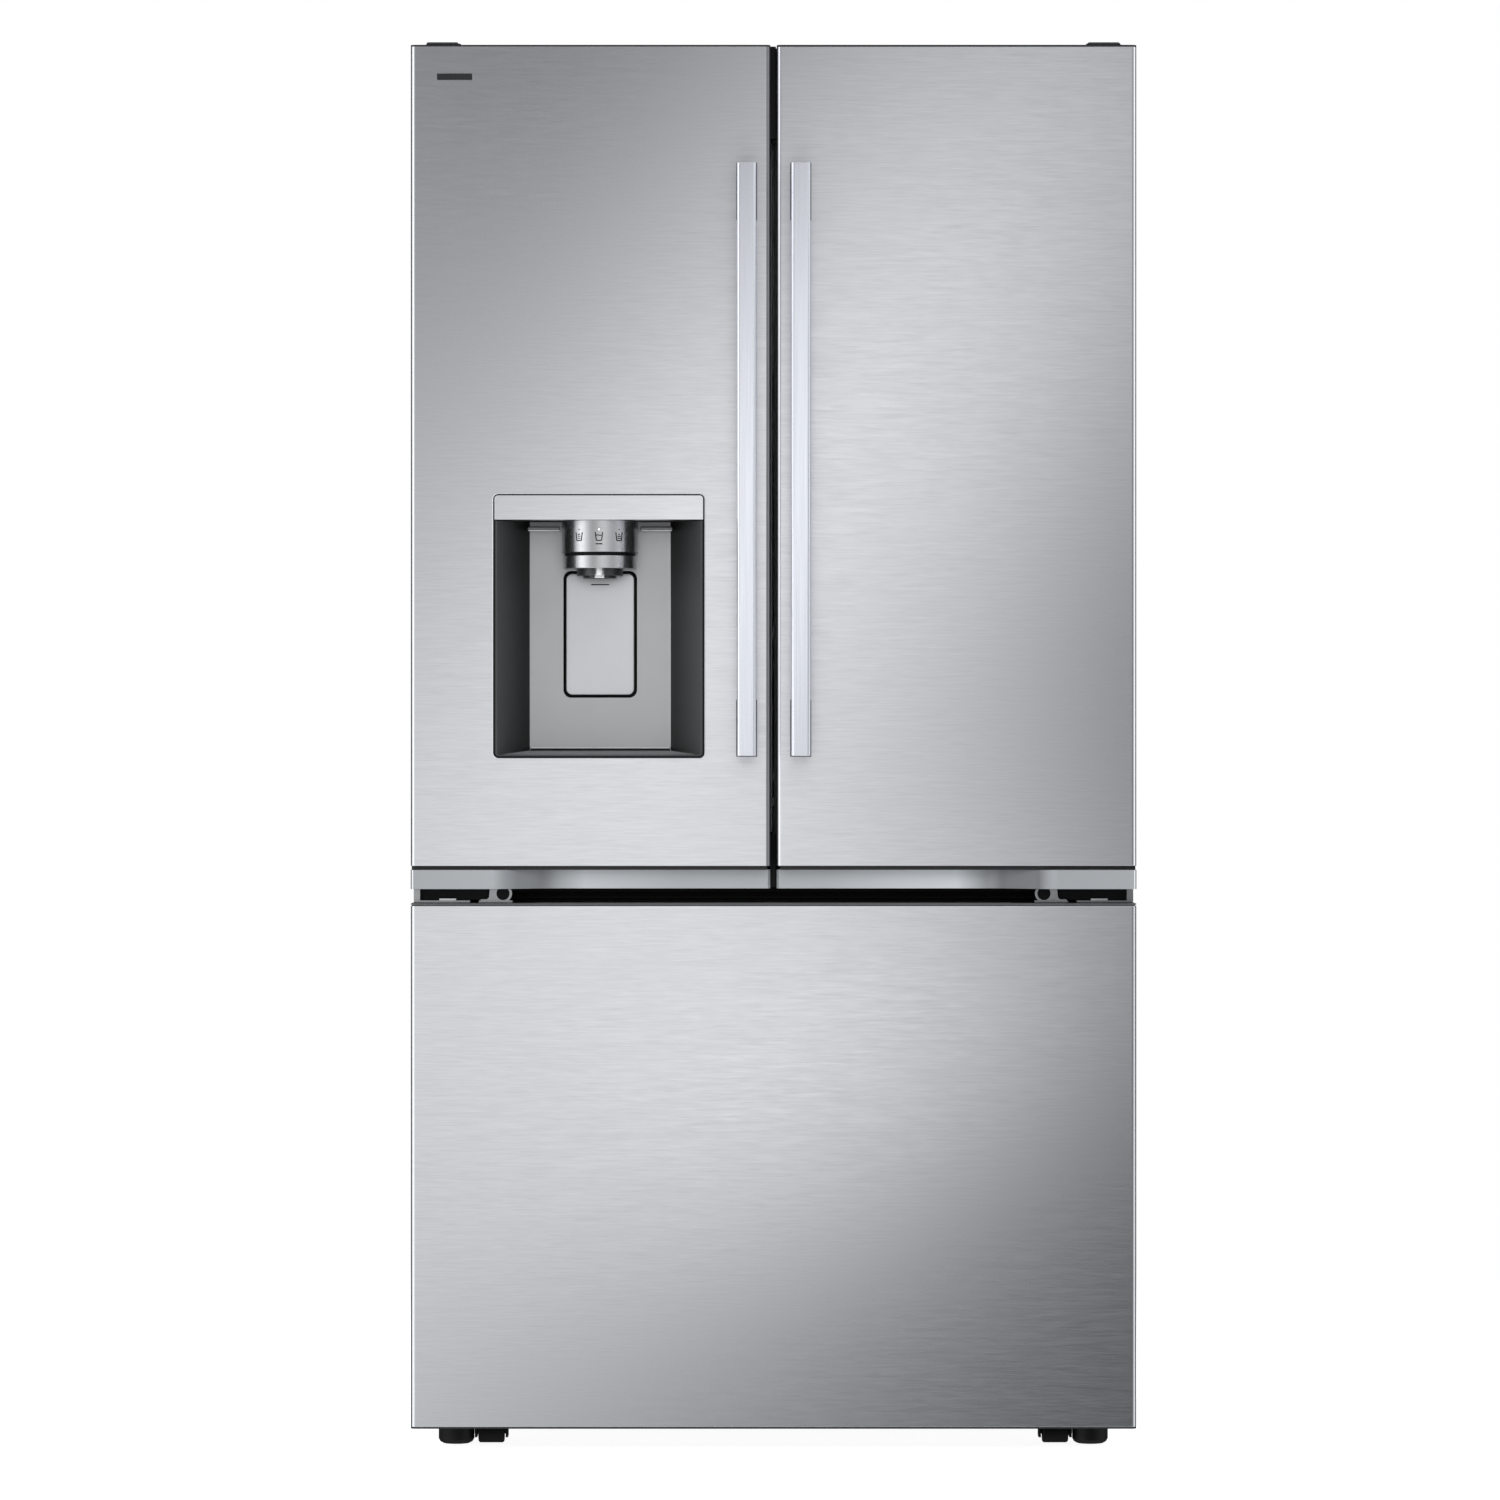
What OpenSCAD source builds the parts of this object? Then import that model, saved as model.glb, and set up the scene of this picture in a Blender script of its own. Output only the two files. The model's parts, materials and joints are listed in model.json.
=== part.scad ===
// French door refrigerator: two hinged fridge doors over a full-width freezer drawer.
// Frame: +X to the right as seen from the front, +Y to the back, +Z up, in millimetres.
// The origin is on the floor, at the centre of the overall width and depth.

/* [Overall] */
// Width across the two doors
overall_w = 908; // [900:1:920]
// Depth from the front of the handles to the rear fittings
overall_d = 796; // [792:1:800]
// Width of the steel case behind the doors
case_w = 904; // [898:1:904]
// Height of the top of the case over the floor
case_top = 1750; // [1748:1:1752]

/* [Doors] */
// Height of the top of the two doors
door_top = 1760; // [1758:1:1762]
// Height of the underside of the two doors
door_bottom = 704; // [702:1:706]
// Thickness of a door or of the drawer front
door_t = 100; // [100:1:102]
// Gap between the two doors
door_gap = 8; // [6:0.5:9]
// Space between a door's back and the case, which the gasket fills
seal_gap = 12; // [12:0.5:14]
// How far the handles stand out from the doors
handle_reach = 62; // [58:1:64]
// Length of a handle bar with its two mounts
handle_len = 739; // [700:1:760]
// Radius of the bent vertical edges of the steel skins
edge_r = 6; // [4:0.5:7]

/* [Freezer drawer] */
// Height of the drawer front's top edge
drawer_top = 686; // [684:1:687]
// Height of the drawer front's bottom edge
drawer_bottom = 29; // [28:1:30]

/* [Dispenser] */
// Width of the dispenser opening in the left door
disp_w = 262; // [256:1:264]
// Height of the dispenser opening
disp_h = 328; // [320:1:330]
// Depth of the dispenser niche
disp_depth = 74; // [70:1:75]
// Radius of the round dispenser head
head_r = 48; // [44:1:50]

/* [Hidden] */
$fn = 48;

// ---- planes from front to back ----
front_y = -overall_d / 2;                 // front of the handle bars
face_y = front_y + handle_reach;          // front face of doors and drawer
back_y = face_y + door_t;                 // back plane of doors and drawer
case_y = back_y + seal_gap;               // front flange of the case
rear_y = overall_d / 2;                   // end of the rear fittings
case_back_y = rear_y - 16;                // back sheet of the case
panel_t = 4;                              // plastic inner panel of a door
core_y = back_y - panel_t;                // back of a door's insulation

// ---- sheet and wall thicknesses ----
skin_t = 1.2;                             // stainless skin
sheet = 1;                                // painted case sheet
liner_t = 3;                              // vacuum-formed liner
bin_t = 3;                                // moulded bins and drawers
apart = 0.1;                              // keeps neighbouring panels separate solids
pin_slack = 0.06;                         // radial running clearance of pins

// ---- compartments ----
half = case_w / 2;
wall_x = half - 50;                       // outside of both liners
case_z = 42;                              // underside of the insulated case
fridge_z = [720, 1700];                   // outside of the fridge liner
freezer_z = [90, 660];                    // outside of the freezer liner
inner_back_y = case_back_y - 57;          // outside of the liners' back walls
machine_z = 300;                          // roof of the machine compartment
machine_y = 160;                          // front wall of the machine compartment
step_y = 120;                             // freezer liner's lower back wall
step_z = 345;                             // and the step over the machine compartment

// ---- doors ----
half_door = overall_w / 2;
inner_edge = door_gap / 2;
hinge_x = half_door - 22;                 // door pins
hinge_y = face_y + 66;
hinge_r = 6;
skin_z = [733, door_top - 2];             // stainless skin of the doors
cap_z = 1735;                             // underside of the top cap's plug
trim_top = 728;                           // top of the grey bottom trim
dike_y = back_y + 50;                     // how far the inner panel's ridges reach in
dike_z = [745, 1692];                     // their bottom and top
bin_x = [97, 371];                        // door bins, as distances from the middle
bin_y = [back_y + 0.5, back_y + 84];
bin_h = 105;
left_bins = [770, 985];
right_bins = [770, 1010, 1260, 1490];
seal_x = 431;                             // gasket's outer edge
seal_w = 12;

// ---- dispenser ----
disp_x = -218.5;                          // middle of the dispenser
disp_z = [869, 869 + disp_h];
disp_r = 5;                               // its corner radius
header_h = 31;
niche_z = [877, disp_z[1] - header_h];
niche_sill = 871.5;                       // front edge of the niche's sloping floor
niche_y = face_y + disp_depth;
niche_half = [128, 89];                   // half widths at the mouth and at the back wall
head_y = face_y + 4 + head_r;
paddle_size = [87, 154, 5];
paddle_z = 1024;                          // middle of the paddle
paddle_pivot = [niche_y + 5.5, 1096];     // its pivot line
recess_gap = 3;

// ---- handles ----
handle_x = 33.7;
handle_z = [869.7, 869.7 + handle_len];
handle_bar = [24, 18];
mount_w = 26;
mount_h = 71;

// ---- shelves and drawers inside the fridge ----
shelf_front = -70;
shelf_back = 296;
shelf_x = [8, 385];
left_shelves = [1225, 1440];
right_shelves = [1225, 1390];
full_shelves = [843, 1030];               // over the pantry drawer and over the crispers
glass_t = 4;
upright_y = 300;                          // front of the slotted uprights that hold the shelves
upright_z = [1080, 1660];
duct_y = 306;                             // front of the air ducts
crisper_y = [-46, 290];
crisper_z = [852, 1008];
pantry_z = [728, 822];

// ---- freezer ----
rail_z = [372, 402];
rail_end = 300;
basket_z = [110, 392];
upper_basket_z = [440, 610];

// ---- feet and rollers ----
leg_x = 401.5;
leg_y = case_y - 2;
leg_r = 22.6;
pan_z = [case_z - 4, case_z - 0.2];       // bottom pan
front_roller = [357, -228, 15, 0.5];      // x, y, radius, and height over the floor
rear_roller = [380, 330, 18.5, 0];
roller_w = 33;
axle_r = 4;

// ================= shape helpers =================

// A box from x[0] to x[1], y[0] to y[1] and z[0] to z[1]
module box(x, y, z) {
    translate([x[0], y[0], z[0]]) cube([x[1] - x[0], y[1] - y[0], z[1] - z[0]]);
}

// A tray: a box with walls of thickness t, open at the top
module tray(x, y, z, t) {
    difference() {
        box(x, y, z);
        box([x[0] + t, x[1] - t], [y[0] + t, y[1] - t], [z[0] + t, z[1] + 1]);
    }
}

// The children and their mirror image across the middle
module both_sides() {
    children();
    mirror([1, 0, 0]) children();
}

// A 2-D shape in X and Z, extruded from y[0] to y[1]
module along_y(y) {
    translate([0, y[1], 0]) rotate([90, 0, 0]) linear_extrude(y[1] - y[0]) children();
}

// A 2-D shape in Y and Z, extruded from x[0] to x[1]
module along_x(x) {
    translate([x[0], 0, 0]) rotate([90, 0, 90]) linear_extrude(x[1] - x[0]) children();
}

// A rectangle with round corners, centred
module round_rect(w, h, r) {
    square([w - 2 * r, h], center = true);
    square([w, h - 2 * r], center = true);
    for (sx = [-1, 1], sy = [-1, 1])
        translate([sx * (w / 2 - r), sy * (h / 2 - r)]) circle(r);
}

// Plan of a door: a rectangle whose two front corners are round
module door_plan(x, y, r) {
    translate([x[0], y[0] + r]) square([x[1] - x[0], y[1] - y[0] - r]);
    translate([x[0] + r, y[0]]) square([x[1] - x[0] - 2 * r, r + 1]);
    for (cx = [x[0] + r, x[1] - r]) translate([cx, y[0] + r]) circle(r);
}

// A picture-frame seal, of outer size x by z
module seal_frame(x, z) {
    difference() {
        box(x, [back_y + 0.3, case_y - 0.3], z);
        box([x[0] + seal_w, x[1] - seal_w], [back_y - 1, case_y + 1], [z[0] + seal_w, z[1] - seal_w]);
        // the bellows groove behind the magnetic face
        difference() {
            box([x[0] - 1, x[1] + 1], [back_y + 4, back_y + 7], [z[0] - 1, z[1] + 1]);
            box([x[0] + 2.5, x[1] - 2.5], [back_y + 3, back_y + 8], [z[0] + 2.5, z[1] - 2.5]);
        }
    }
}

// ================= doors, drawn for the left side =================

door_x = [-half_door, -inner_edge];

module door_skin_shape() {
    translate([0, 0, skin_z[0]]) linear_extrude(skin_z[1] - skin_z[0]) difference() {
        door_plan(door_x, [face_y, core_y], edge_r);
        door_plan([door_x[0] + skin_t, door_x[1] - skin_t], [face_y + skin_t, core_y + 1], edge_r - skin_t);
    }
}

// One upright block of insulation. cut is the chamfer on its left and right front edges.
module core_block(x, z, cut) {
    yf = face_y + skin_t;
    translate([0, 0, z[0]]) linear_extrude(z[1] - z[0]) polygon([
        [x[0] + cut[0], yf], [x[1] - cut[1], yf], [x[1], yf + cut[1] + 0.01],
        [x[1], core_y], [x[0], core_y], [x[0], yf + cut[0] + 0.01]
    ]);
}

core_x = [door_x[0] + skin_t, door_x[1] - skin_t];
core_z = [skin_z[0] + 12, cap_z];
core_cut = edge_r - skin_t + 0.2;

// The inner panel with its ridges. dikes are the ridges' inner faces, as distances from the middle.
module door_panel_shape(dikes) {
    box(door_x, [core_y, back_y], skin_z);
    for (x = dikes) box([-x - 24, -x], [back_y, dike_y], dike_z);
    for (z = [dike_z[0], dike_z[1] - 10])
        box([-dikes[1], -dikes[0] - 24], [back_y, dike_y - 20], [z, z + 10]);
}

// Front edge of the bottom trim: flush at the hinge side, then an S-curve back to a finger recess
trim_from = -356;
trim_to = -268;
trim_depth = 38;
trim_steps = 24;
function trim_y(x) =
    let (s = min(1, max(0, (x - trim_from) / (trim_to - trim_from))))
    face_y + trim_depth * (1 - cos(180 * s)) / 2;
trim_front = [for (i = [0:trim_steps]) let (x = trim_from + (trim_to - trim_from) * i / trim_steps) [x, trim_y(x)]];

module bottom_trim_shape() {
    corner = 3;
    difference() {
        union() {
            translate([0, 0, door_bottom]) linear_extrude(trim_top - door_bottom) polygon(concat(
                [[door_x[0], face_y + corner], [door_x[0] + corner, face_y]],
                trim_front,
                [[door_x[1] - corner, face_y + trim_depth], [door_x[1], face_y + trim_depth + corner],
                 [door_x[1], back_y], [door_x[0], back_y]]
            ));
            // neck in the shadow groove, and the plug inside the skin
            box([door_x[0] + 4, door_x[1] - 4], [face_y + 6, core_y], [trim_top, skin_z[0]]);
            translate([0, 0, skin_z[0]]) linear_extrude(12)
                door_plan(core_x, [face_y + skin_t, core_y], edge_r - skin_t);
        }
        // bore of the lower hinge pin
        translate([-hinge_x, hinge_y, door_bottom - 1]) cylinder(h = 19, r = hinge_r + pin_slack);
    }
}

module top_cap_shape() {
    difference() {
        union() {
            translate([0, 0, cap_z]) linear_extrude(skin_z[1] - cap_z)
                door_plan(core_x, [face_y + skin_t, core_y], edge_r - skin_t);
            translate([0, 0, skin_z[1]]) linear_extrude(door_top - skin_z[1])
                door_plan(door_x, [face_y, back_y], edge_r);
        }
        translate([-hinge_x, hinge_y, cap_z + 2]) cylinder(h = 40, r = hinge_r + pin_slack);
    }
}

module bin_shape(z) {
    difference() {
        box([-bin_x[1], -bin_x[0]], bin_y, [z, z + bin_h]);
        box([-bin_x[1] + bin_t, -bin_x[0] - bin_t], [bin_y[0] + bin_t, bin_y[1] - bin_t], [z + bin_t, z + bin_h + 1]);
        // the back wall is low, so that tall bottles reach the inner panel
        box([-bin_x[1] + bin_t, -bin_x[0] - bin_t], [bin_y[0] - 1, bin_y[0] + bin_t + 1], [z + 60, z + bin_h + 1]);
    }
}

module handle_bar_shape() {
    translate([-handle_x, front_y + handle_bar[1] / 2, handle_z[0] + 1])
        linear_extrude(handle_len - 2) round_rect(handle_bar[0], handle_bar[1], 4);
}

module handle_mounts_shape() {
    reach = [front_y + handle_bar[1], face_y];
    ends = [handle_z[0], handle_z[1] - mount_h];
    for (i = [0, 1]) difference() {
        translate([-handle_x, 0, ends[i]]) linear_extrude(mount_h)
            translate([0, (reach[0] + reach[1]) / 2]) round_rect(mount_w, reach[1] - reach[0], 2.5);
        // slanted inner side, away from the bar's end
        slope = i == 0 ? 1 : -1;
        inner = ends[i] + (i == 0 ? mount_h : 0);
        along_x([-handle_x - mount_w, -handle_x + mount_w]) polygon([
            [reach[0] + 12, inner + slope], [reach[1] + 1, inner + slope],
            [reach[1] + 1, inner - slope * 16]
        ]);
    }
}

// ================= left door =================

module left_door_skin() {
    color("silver") difference() {
        door_skin_shape();
        translate([disp_x, 0, (disp_z[0] + disp_z[1]) / 2]) along_y([face_y - 1, face_y + 6])
            round_rect(disp_w, disp_h, disp_r);
    }
}

module left_door_insulation() {
    window_x = [disp_x - disp_w / 2 - 0.5, disp_x + disp_w / 2 + 0.5];
    window_z = [disp_z[0] - 1, disp_z[1] + 1];
    color("khaki") {
        core_block(core_x, [core_z[0], window_z[0]], [core_cut, core_cut]);
        core_block(core_x, [window_z[1], core_z[1]], [core_cut, core_cut]);
        core_block([core_x[0], window_x[0]], [window_z[0] + apart, window_z[1] - apart], [core_cut, 0]);
        core_block([window_x[1], core_x[1]], [window_z[0] + apart, window_z[1] - apart], [0, core_cut]);
    }
}

ear_z = [[736, 744], [1681, 1689]];
mullion_pin = [-46, case_y + 12];
mullion_z = [745, 1680];
mullion_edge = -1;                        // its free edge, which has to pass the right door

module left_door_liner() {
    color("white") {
        difference() {
            union() {
                door_panel_shape([72, 372]);
                for (z = ear_z) box([mullion_pin[0] - 9, mullion_pin[0] + 9], [back_y, mullion_pin[1] + 9], z);
            }
            translate([mullion_pin[0], mullion_pin[1], 700]) cylinder(h = 1020, r = 3 + pin_slack);
        }
    }
}

module left_door_caps() {
    color("darkgray") {
        bottom_trim_shape();
        top_cap_shape();
    }
}

door_seal_x = [-seal_x, -8];
door_seal_z = [706.5, 1734];

module left_door_gasket() {
    color("dimgray") seal_frame(door_seal_x, door_seal_z);
}

// The flap that closes the gap between the doors; it folds back as the left door opens
module mullion() {
    color("dimgray") {
        translate([0, 0, mullion_z[0]]) linear_extrude(mullion_z[1] - mullion_z[0]) polygon([
            [mullion_pin[0] - 4, case_y], [mullion_edge - 2, case_y], [mullion_edge, case_y + 2],
            [mullion_edge, case_y + 6], [mullion_edge - 5, case_y + 24], [mullion_pin[0] - 4, case_y + 24]
        ]);
        for (z = [mullion_z[0] - 8, mullion_z[1]])
            translate([mullion_pin[0], mullion_pin[1], z]) cylinder(h = 8, r = 3);
    }
}

module left_handle() {
    color("gainsboro") handle_bar_shape();
}

module left_handle_mounts() {
    color("darkgray") handle_mounts_shape();
}

module left_door_bins() {
    color("lightcyan") for (z = left_bins) bin_shape(z);
}

// ---- ice and water dispenser ----

module dispenser_housing() {
    mid_z = (disp_z[0] + disp_z[1]) / 2;
    recess = [paddle_size[0] + 2 * recess_gap, paddle_size[1] + 2 * recess_gap];
    color("gray") difference() {
        translate([disp_x, 0, mid_z]) along_y([face_y - 0.8, core_y])
            round_rect(disp_w - 1, disp_h - 1, disp_r - 0.5);
        // niche that narrows towards the back wall, with a floor that slopes to the front
        intersection() {
            translate([disp_x, 0, disp_z[0]]) linear_extrude(niche_z[1] - disp_z[0]) polygon([
                [-niche_half[0], face_y - 2], [niche_half[0], face_y - 2],
                [niche_half[1], niche_y], [-niche_half[1], niche_y]
            ]);
            along_x([disp_x - disp_w, disp_x + disp_w]) polygon([
                [face_y - 3, niche_sill], [face_y, niche_sill], [niche_y, niche_z[0]],
                [niche_y + 1, niche_z[0]], [niche_y + 1, niche_z[1] + 1], [face_y - 3, niche_z[1] + 1]
            ]);
        }
        // seat of the header
        box([disp_x - disp_w / 2, disp_x + disp_w / 2], [face_y - 2, face_y + 36], [niche_z[1] - 1, disp_z[1] + 1]);
        // recess that the paddle swings into, and its pivot bores
        translate([disp_x, 0, paddle_z]) along_y([niche_y - 1, core_y - 1])
            round_rect(recess[0], recess[1], 10);
        translate([disp_x - paddle_size[0] / 2 - 8, paddle_pivot[0], paddle_pivot[1]])
            rotate([0, 90, 0]) cylinder(h = paddle_size[0] + 16, r = 2 + pin_slack);
    }
}

// A round-fronted block that reaches back to the niche's back wall
module head_block(r, z) {
    intersection() {
        translate([disp_x, head_y, z[0]]) cylinder(h = z[1] - z[0], r = r);
        box([disp_x - r, disp_x + r], [head_y - r, head_y], z);
    }
    box([disp_x - r, disp_x + r], [head_y, niche_y], z);
}

head_z = [niche_z[1] - 40, niche_z[1]];
ring_z = [head_z[0] - 20, head_z[0] - 4];

module dispenser_head() {
    color("silver") {
        // header bar across the top of the opening
        intersection() {
            translate([disp_x, 0, (disp_z[0] + disp_z[1]) / 2]) along_y([face_y - 2, face_y + 35.5])
                round_rect(disp_w - 1, disp_h - 1, disp_r - 0.5);
            box([disp_x - disp_w, disp_x + disp_w], [face_y - 10, face_y + 80], [niche_z[1] + apart, disp_z[1]]);
        }
        // control head, narrow neck, and lower ring
        head_block(head_r, head_z);
        head_block(head_r - 4, [ring_z[1], head_z[0]]);
        head_block(head_r - 2, ring_z);
    }
}

spout_z = ring_z[0];

module dispenser_spout() {
    color("dimgray") {
        difference() {
            // flat at the back, where it stays clear of the paddle
            intersection() {
                union() {
                    translate([disp_x, head_y, spout_z - 9]) cylinder(h = 9, r = 29);
                    translate([disp_x, head_y, spout_z - 12]) cylinder(h = 3, r = 21);
                }
                box([disp_x - 40, disp_x + 40], [face_y, niche_y - 3], [spout_z - 20, spout_z]);
            }
            // ice chute
            translate([disp_x, head_y, spout_z - 13]) cylinder(h = 10, r = 15);
            // slot for the water nozzle
            box([disp_x - 6, disp_x + 6], [head_y - 30, head_y - 19.9], [spout_z - 13, spout_z + 1]);
        }
        // water nozzle
        translate([disp_x, head_y - 24.8, spout_z - 9]) cylinder(h = 9, r = 4.5);
    }
}

module dispenser_paddle() {
    color("lightgray") {
        translate([disp_x, 0, paddle_z]) along_y([niche_y, niche_y + paddle_size[2]])
            round_rect(paddle_size[0], paddle_size[1], 7);
        // pivot rod behind the plate's upper edge, held in two lugs
        translate([disp_x - paddle_size[0] / 2 - 7, paddle_pivot[0], paddle_pivot[1]])
            rotate([0, 90, 0]) cylinder(h = paddle_size[0] + 14, r = 2);
        for (s = [-1, 1])
            translate([disp_x + s * 32, 0, 0]) box([-4, 4], [niche_y + 4, niche_y + 9], [1091, 1101]);
    }
}

ice_z = [1215, 1680];

// Insulated ice room on the inside of the left door, with its cover and ice bucket
module ice_compartment() {
    x = [-bin_x[1], -bin_x[0]];
    y = [back_y + 0.5, back_y + 80];
    color("white") {
        difference() {
            box(x, y, ice_z);
            box([x[0] + 6, x[1] - 6], [y[0] + 4, y[1] + 1], [ice_z[0] + 6, ice_z[1] - 6]);
        }
        box([x[0] + 1, x[1] - 1], [y[1] + 0.5, y[1] + 6], [ice_z[0] + 1, ice_z[1] - 1]);
        tray([x[0] + 12, x[1] - 12], [y[0] + 8, y[1] - 6], [ice_z[0] + 10, ice_z[0] + 230], bin_t);
        // ice maker over the bucket
        box([x[0] + 20, x[1] - 20], [y[0] + 10, y[1] - 10], [ice_z[1] - 130, ice_z[1] - 50]);
    }
}

// ================= right door =================

module right_door_skin() {
    color("silver") mirror([1, 0, 0]) door_skin_shape();
}

module right_door_insulation() {
    color("khaki") mirror([1, 0, 0]) core_block(core_x, core_z, [core_cut, core_cut]);
}

module right_door_liner() {
    color("white") mirror([1, 0, 0]) door_panel_shape([72, 372]);
}

module right_door_caps() {
    color("darkgray") mirror([1, 0, 0]) {
        bottom_trim_shape();
        top_cap_shape();
    }
}

// This gasket also has a fin that wipes the mullion's free edge
module right_door_gasket() {
    color("dimgray") {
        mirror([1, 0, 0]) seal_frame(door_seal_x, door_seal_z);
        box([1, 8], [case_y - 4, case_y - 1], mullion_z);
    }
}

module right_handle() {
    color("gainsboro") mirror([1, 0, 0]) handle_bar_shape();
}

module right_handle_mounts() {
    color("darkgray") mirror([1, 0, 0]) handle_mounts_shape();
}

module right_door_bins() {
    color("lightcyan") mirror([1, 0, 0]) for (z = right_bins) bin_shape(z);
}

// ================= freezer drawer =================

drawer_x = [-half_door, half_door];
drawer_core_x = [drawer_x[0] + skin_t, drawer_x[1] - skin_t];
drawer_skin_z = [drawer_bottom + 2, drawer_top - 3];
drawer_core_z = [drawer_bottom + 16, drawer_top - 36];

module drawer_skin() {
    color("silver") translate([0, 0, drawer_skin_z[0]]) linear_extrude(drawer_skin_z[1] - drawer_skin_z[0])
        difference() {
            door_plan(drawer_x, [face_y, core_y], edge_r);
            door_plan(drawer_core_x, [face_y + skin_t, core_y + 1], edge_r - skin_t);
        }
}

module drawer_insulation() {
    color("khaki") core_block(drawer_core_x, drawer_core_z, [core_cut, core_cut]);
}

module drawer_liner() {
    color("white") {
        box(drawer_x, [core_y, back_y], drawer_skin_z);
        both_sides() box([-370, -346], [back_y, back_y + 40], [115, 640]);
        for (z = [115, 620]) box([-346, 346], [back_y, back_y + 30], [z, z + 20]);
    }
}

grip_half = 300;

// Top cap with the finger trough, and bottom cap
module drawer_caps() {
    plug_y = [face_y + skin_t, core_y];
    color("darkgray") {
        difference() {
            union() {
                translate([0, 0, drawer_core_z[1]]) linear_extrude(drawer_skin_z[1] - drawer_core_z[1])
                    door_plan(drawer_core_x, plug_y, edge_r - skin_t);
                translate([0, 0, drawer_skin_z[1]]) linear_extrude(1.2)
                    door_plan([drawer_x[0] + 2, drawer_x[1] - 2], [face_y + 2, back_y], edge_r - 2);
                translate([0, 0, drawer_skin_z[1] + 1.2]) linear_extrude(1.8)
                    door_plan(drawer_x, [face_y, back_y], edge_r);
            }
            box([-grip_half, grip_half], [face_y + 10, face_y + 52], [drawer_core_z[1] + 6, drawer_top + 1]);
        }
        translate([0, 0, drawer_skin_z[0]]) linear_extrude(drawer_core_z[0] - drawer_skin_z[0])
            door_plan(drawer_core_x, plug_y, edge_r - skin_t);
        translate([0, 0, drawer_bottom]) linear_extrude(2)
            door_plan(drawer_x, [face_y, back_y], edge_r);
    }
}

module drawer_gasket() {
    color("dimgray") seal_frame([-seal_x, seal_x], [66, 674]);
}

module drawer_rails() {
    color("silver") both_sides() {
        box([-383, -378], [back_y + 0.2, 290], [rail_z[0] + 6, rail_z[1] - 6]);
    }
}

module drawer_mid_rails() {
    color("lightgray") both_sides() {
        box([-388.4, -383.6], [case_y + 12, rail_end - 4], [rail_z[0] + 4, rail_z[1] - 4]);
    }
}

module freezer_basket() {
    color("whitesmoke") {
        tray([-372, 372], [-190, 108], basket_z, bin_t);
        // divider
        box([-1.5, 1.5], [-186, 104], [basket_z[0] + bin_t + apart, basket_z[1] - 20]);
        // rims that rest on the rails
        both_sides() box([-377.5, -372 - apart], [-170, 100], [basket_z[1] - 12, basket_z[1]]);
    }
}

// ================= case =================

opening_z = [freezer_z[0], fridge_z[1]];

module cabinet_shell() {
    color("slategray") difference() {
        box([-half, half], [case_y, case_back_y], [case_z, case_top]);
        box([-half + sheet, half - sheet], [case_y + sheet, case_back_y + 1], [case_z - 1, case_top - sheet]);
        box([-wall_x, wall_x], [case_y - 1, case_y + sheet + 1], opening_z);
    }
}

// Insulation: side walls, roof, back, divider, floor, and the two walls round the machine compartment
module insulation_panels() {
    side_x = half - sheet;
    in_x = [-wall_x + apart, wall_x - apart];
    front = case_y + sheet;
    rear = case_back_y - sheet;
    color("khaki") {
        both_sides() box([-side_x, -wall_x], [front, rear], [case_z, case_top - sheet]);
        box(in_x, [front, rear], [fridge_z[1], case_top - sheet]);
        box(in_x, [inner_back_y, rear], [step_z + apart, fridge_z[1] - apart]);
        box(in_x, [case_y + 24, inner_back_y - apart], [freezer_z[1], fridge_z[0]]);
        box(in_x, [front, machine_y], [case_z, freezer_z[0]]);
        box(in_x, [step_y, machine_y], [freezer_z[0] + apart, machine_z - apart]);
        box(in_x, [step_y, rear], [machine_z, step_z]);
    }
}

module fridge_liner() {
    z = fridge_z;
    color("white") difference() {
        box([-wall_x, wall_x], [case_y + sheet, inner_back_y], z);
        box([-wall_x + liner_t, wall_x - liner_t], [case_y, inner_back_y - liner_t], [z[0] + liner_t, z[1] - liner_t]);
    }
}

module freezer_liner() {
    y = [case_y + sheet, step_y, inner_back_y];
    z = [freezer_z[0], step_z, freezer_z[1]];
    t = liner_t;
    color("white") difference() {
        along_x([-wall_x, wall_x]) polygon([
            [y[0], z[0]], [y[1], z[0]], [y[1], z[1]], [y[2], z[1]], [y[2], z[2]], [y[0], z[2]]
        ]);
        along_x([-wall_x + t, wall_x - t]) polygon([
            [y[0] - 1, z[0] + t], [y[1] - t, z[0] + t], [y[1] - t, z[1] + t],
            [y[2] - t, z[1] + t], [y[2] - t, z[2] - t], [y[0] - 1, z[2] - t]
        ]);
    }
}

module back_panel() {
    color("gray") box([-half + sheet, half - sheet], [case_back_y - sheet, case_back_y], [machine_z, case_top - sheet]);
}

module center_crossbar() {
    color("black") difference() {
        box([-wall_x, wall_x], [case_y, case_y + 24], [freezer_z[1], fridge_z[0]]);
        for (z = [freezer_z[1] + 26, freezer_z[1] + 34])
            box([-wall_x + 70, wall_x - 70], [case_y - 1, case_y + 1.5], [z, z + 3]);
    }
}

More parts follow.
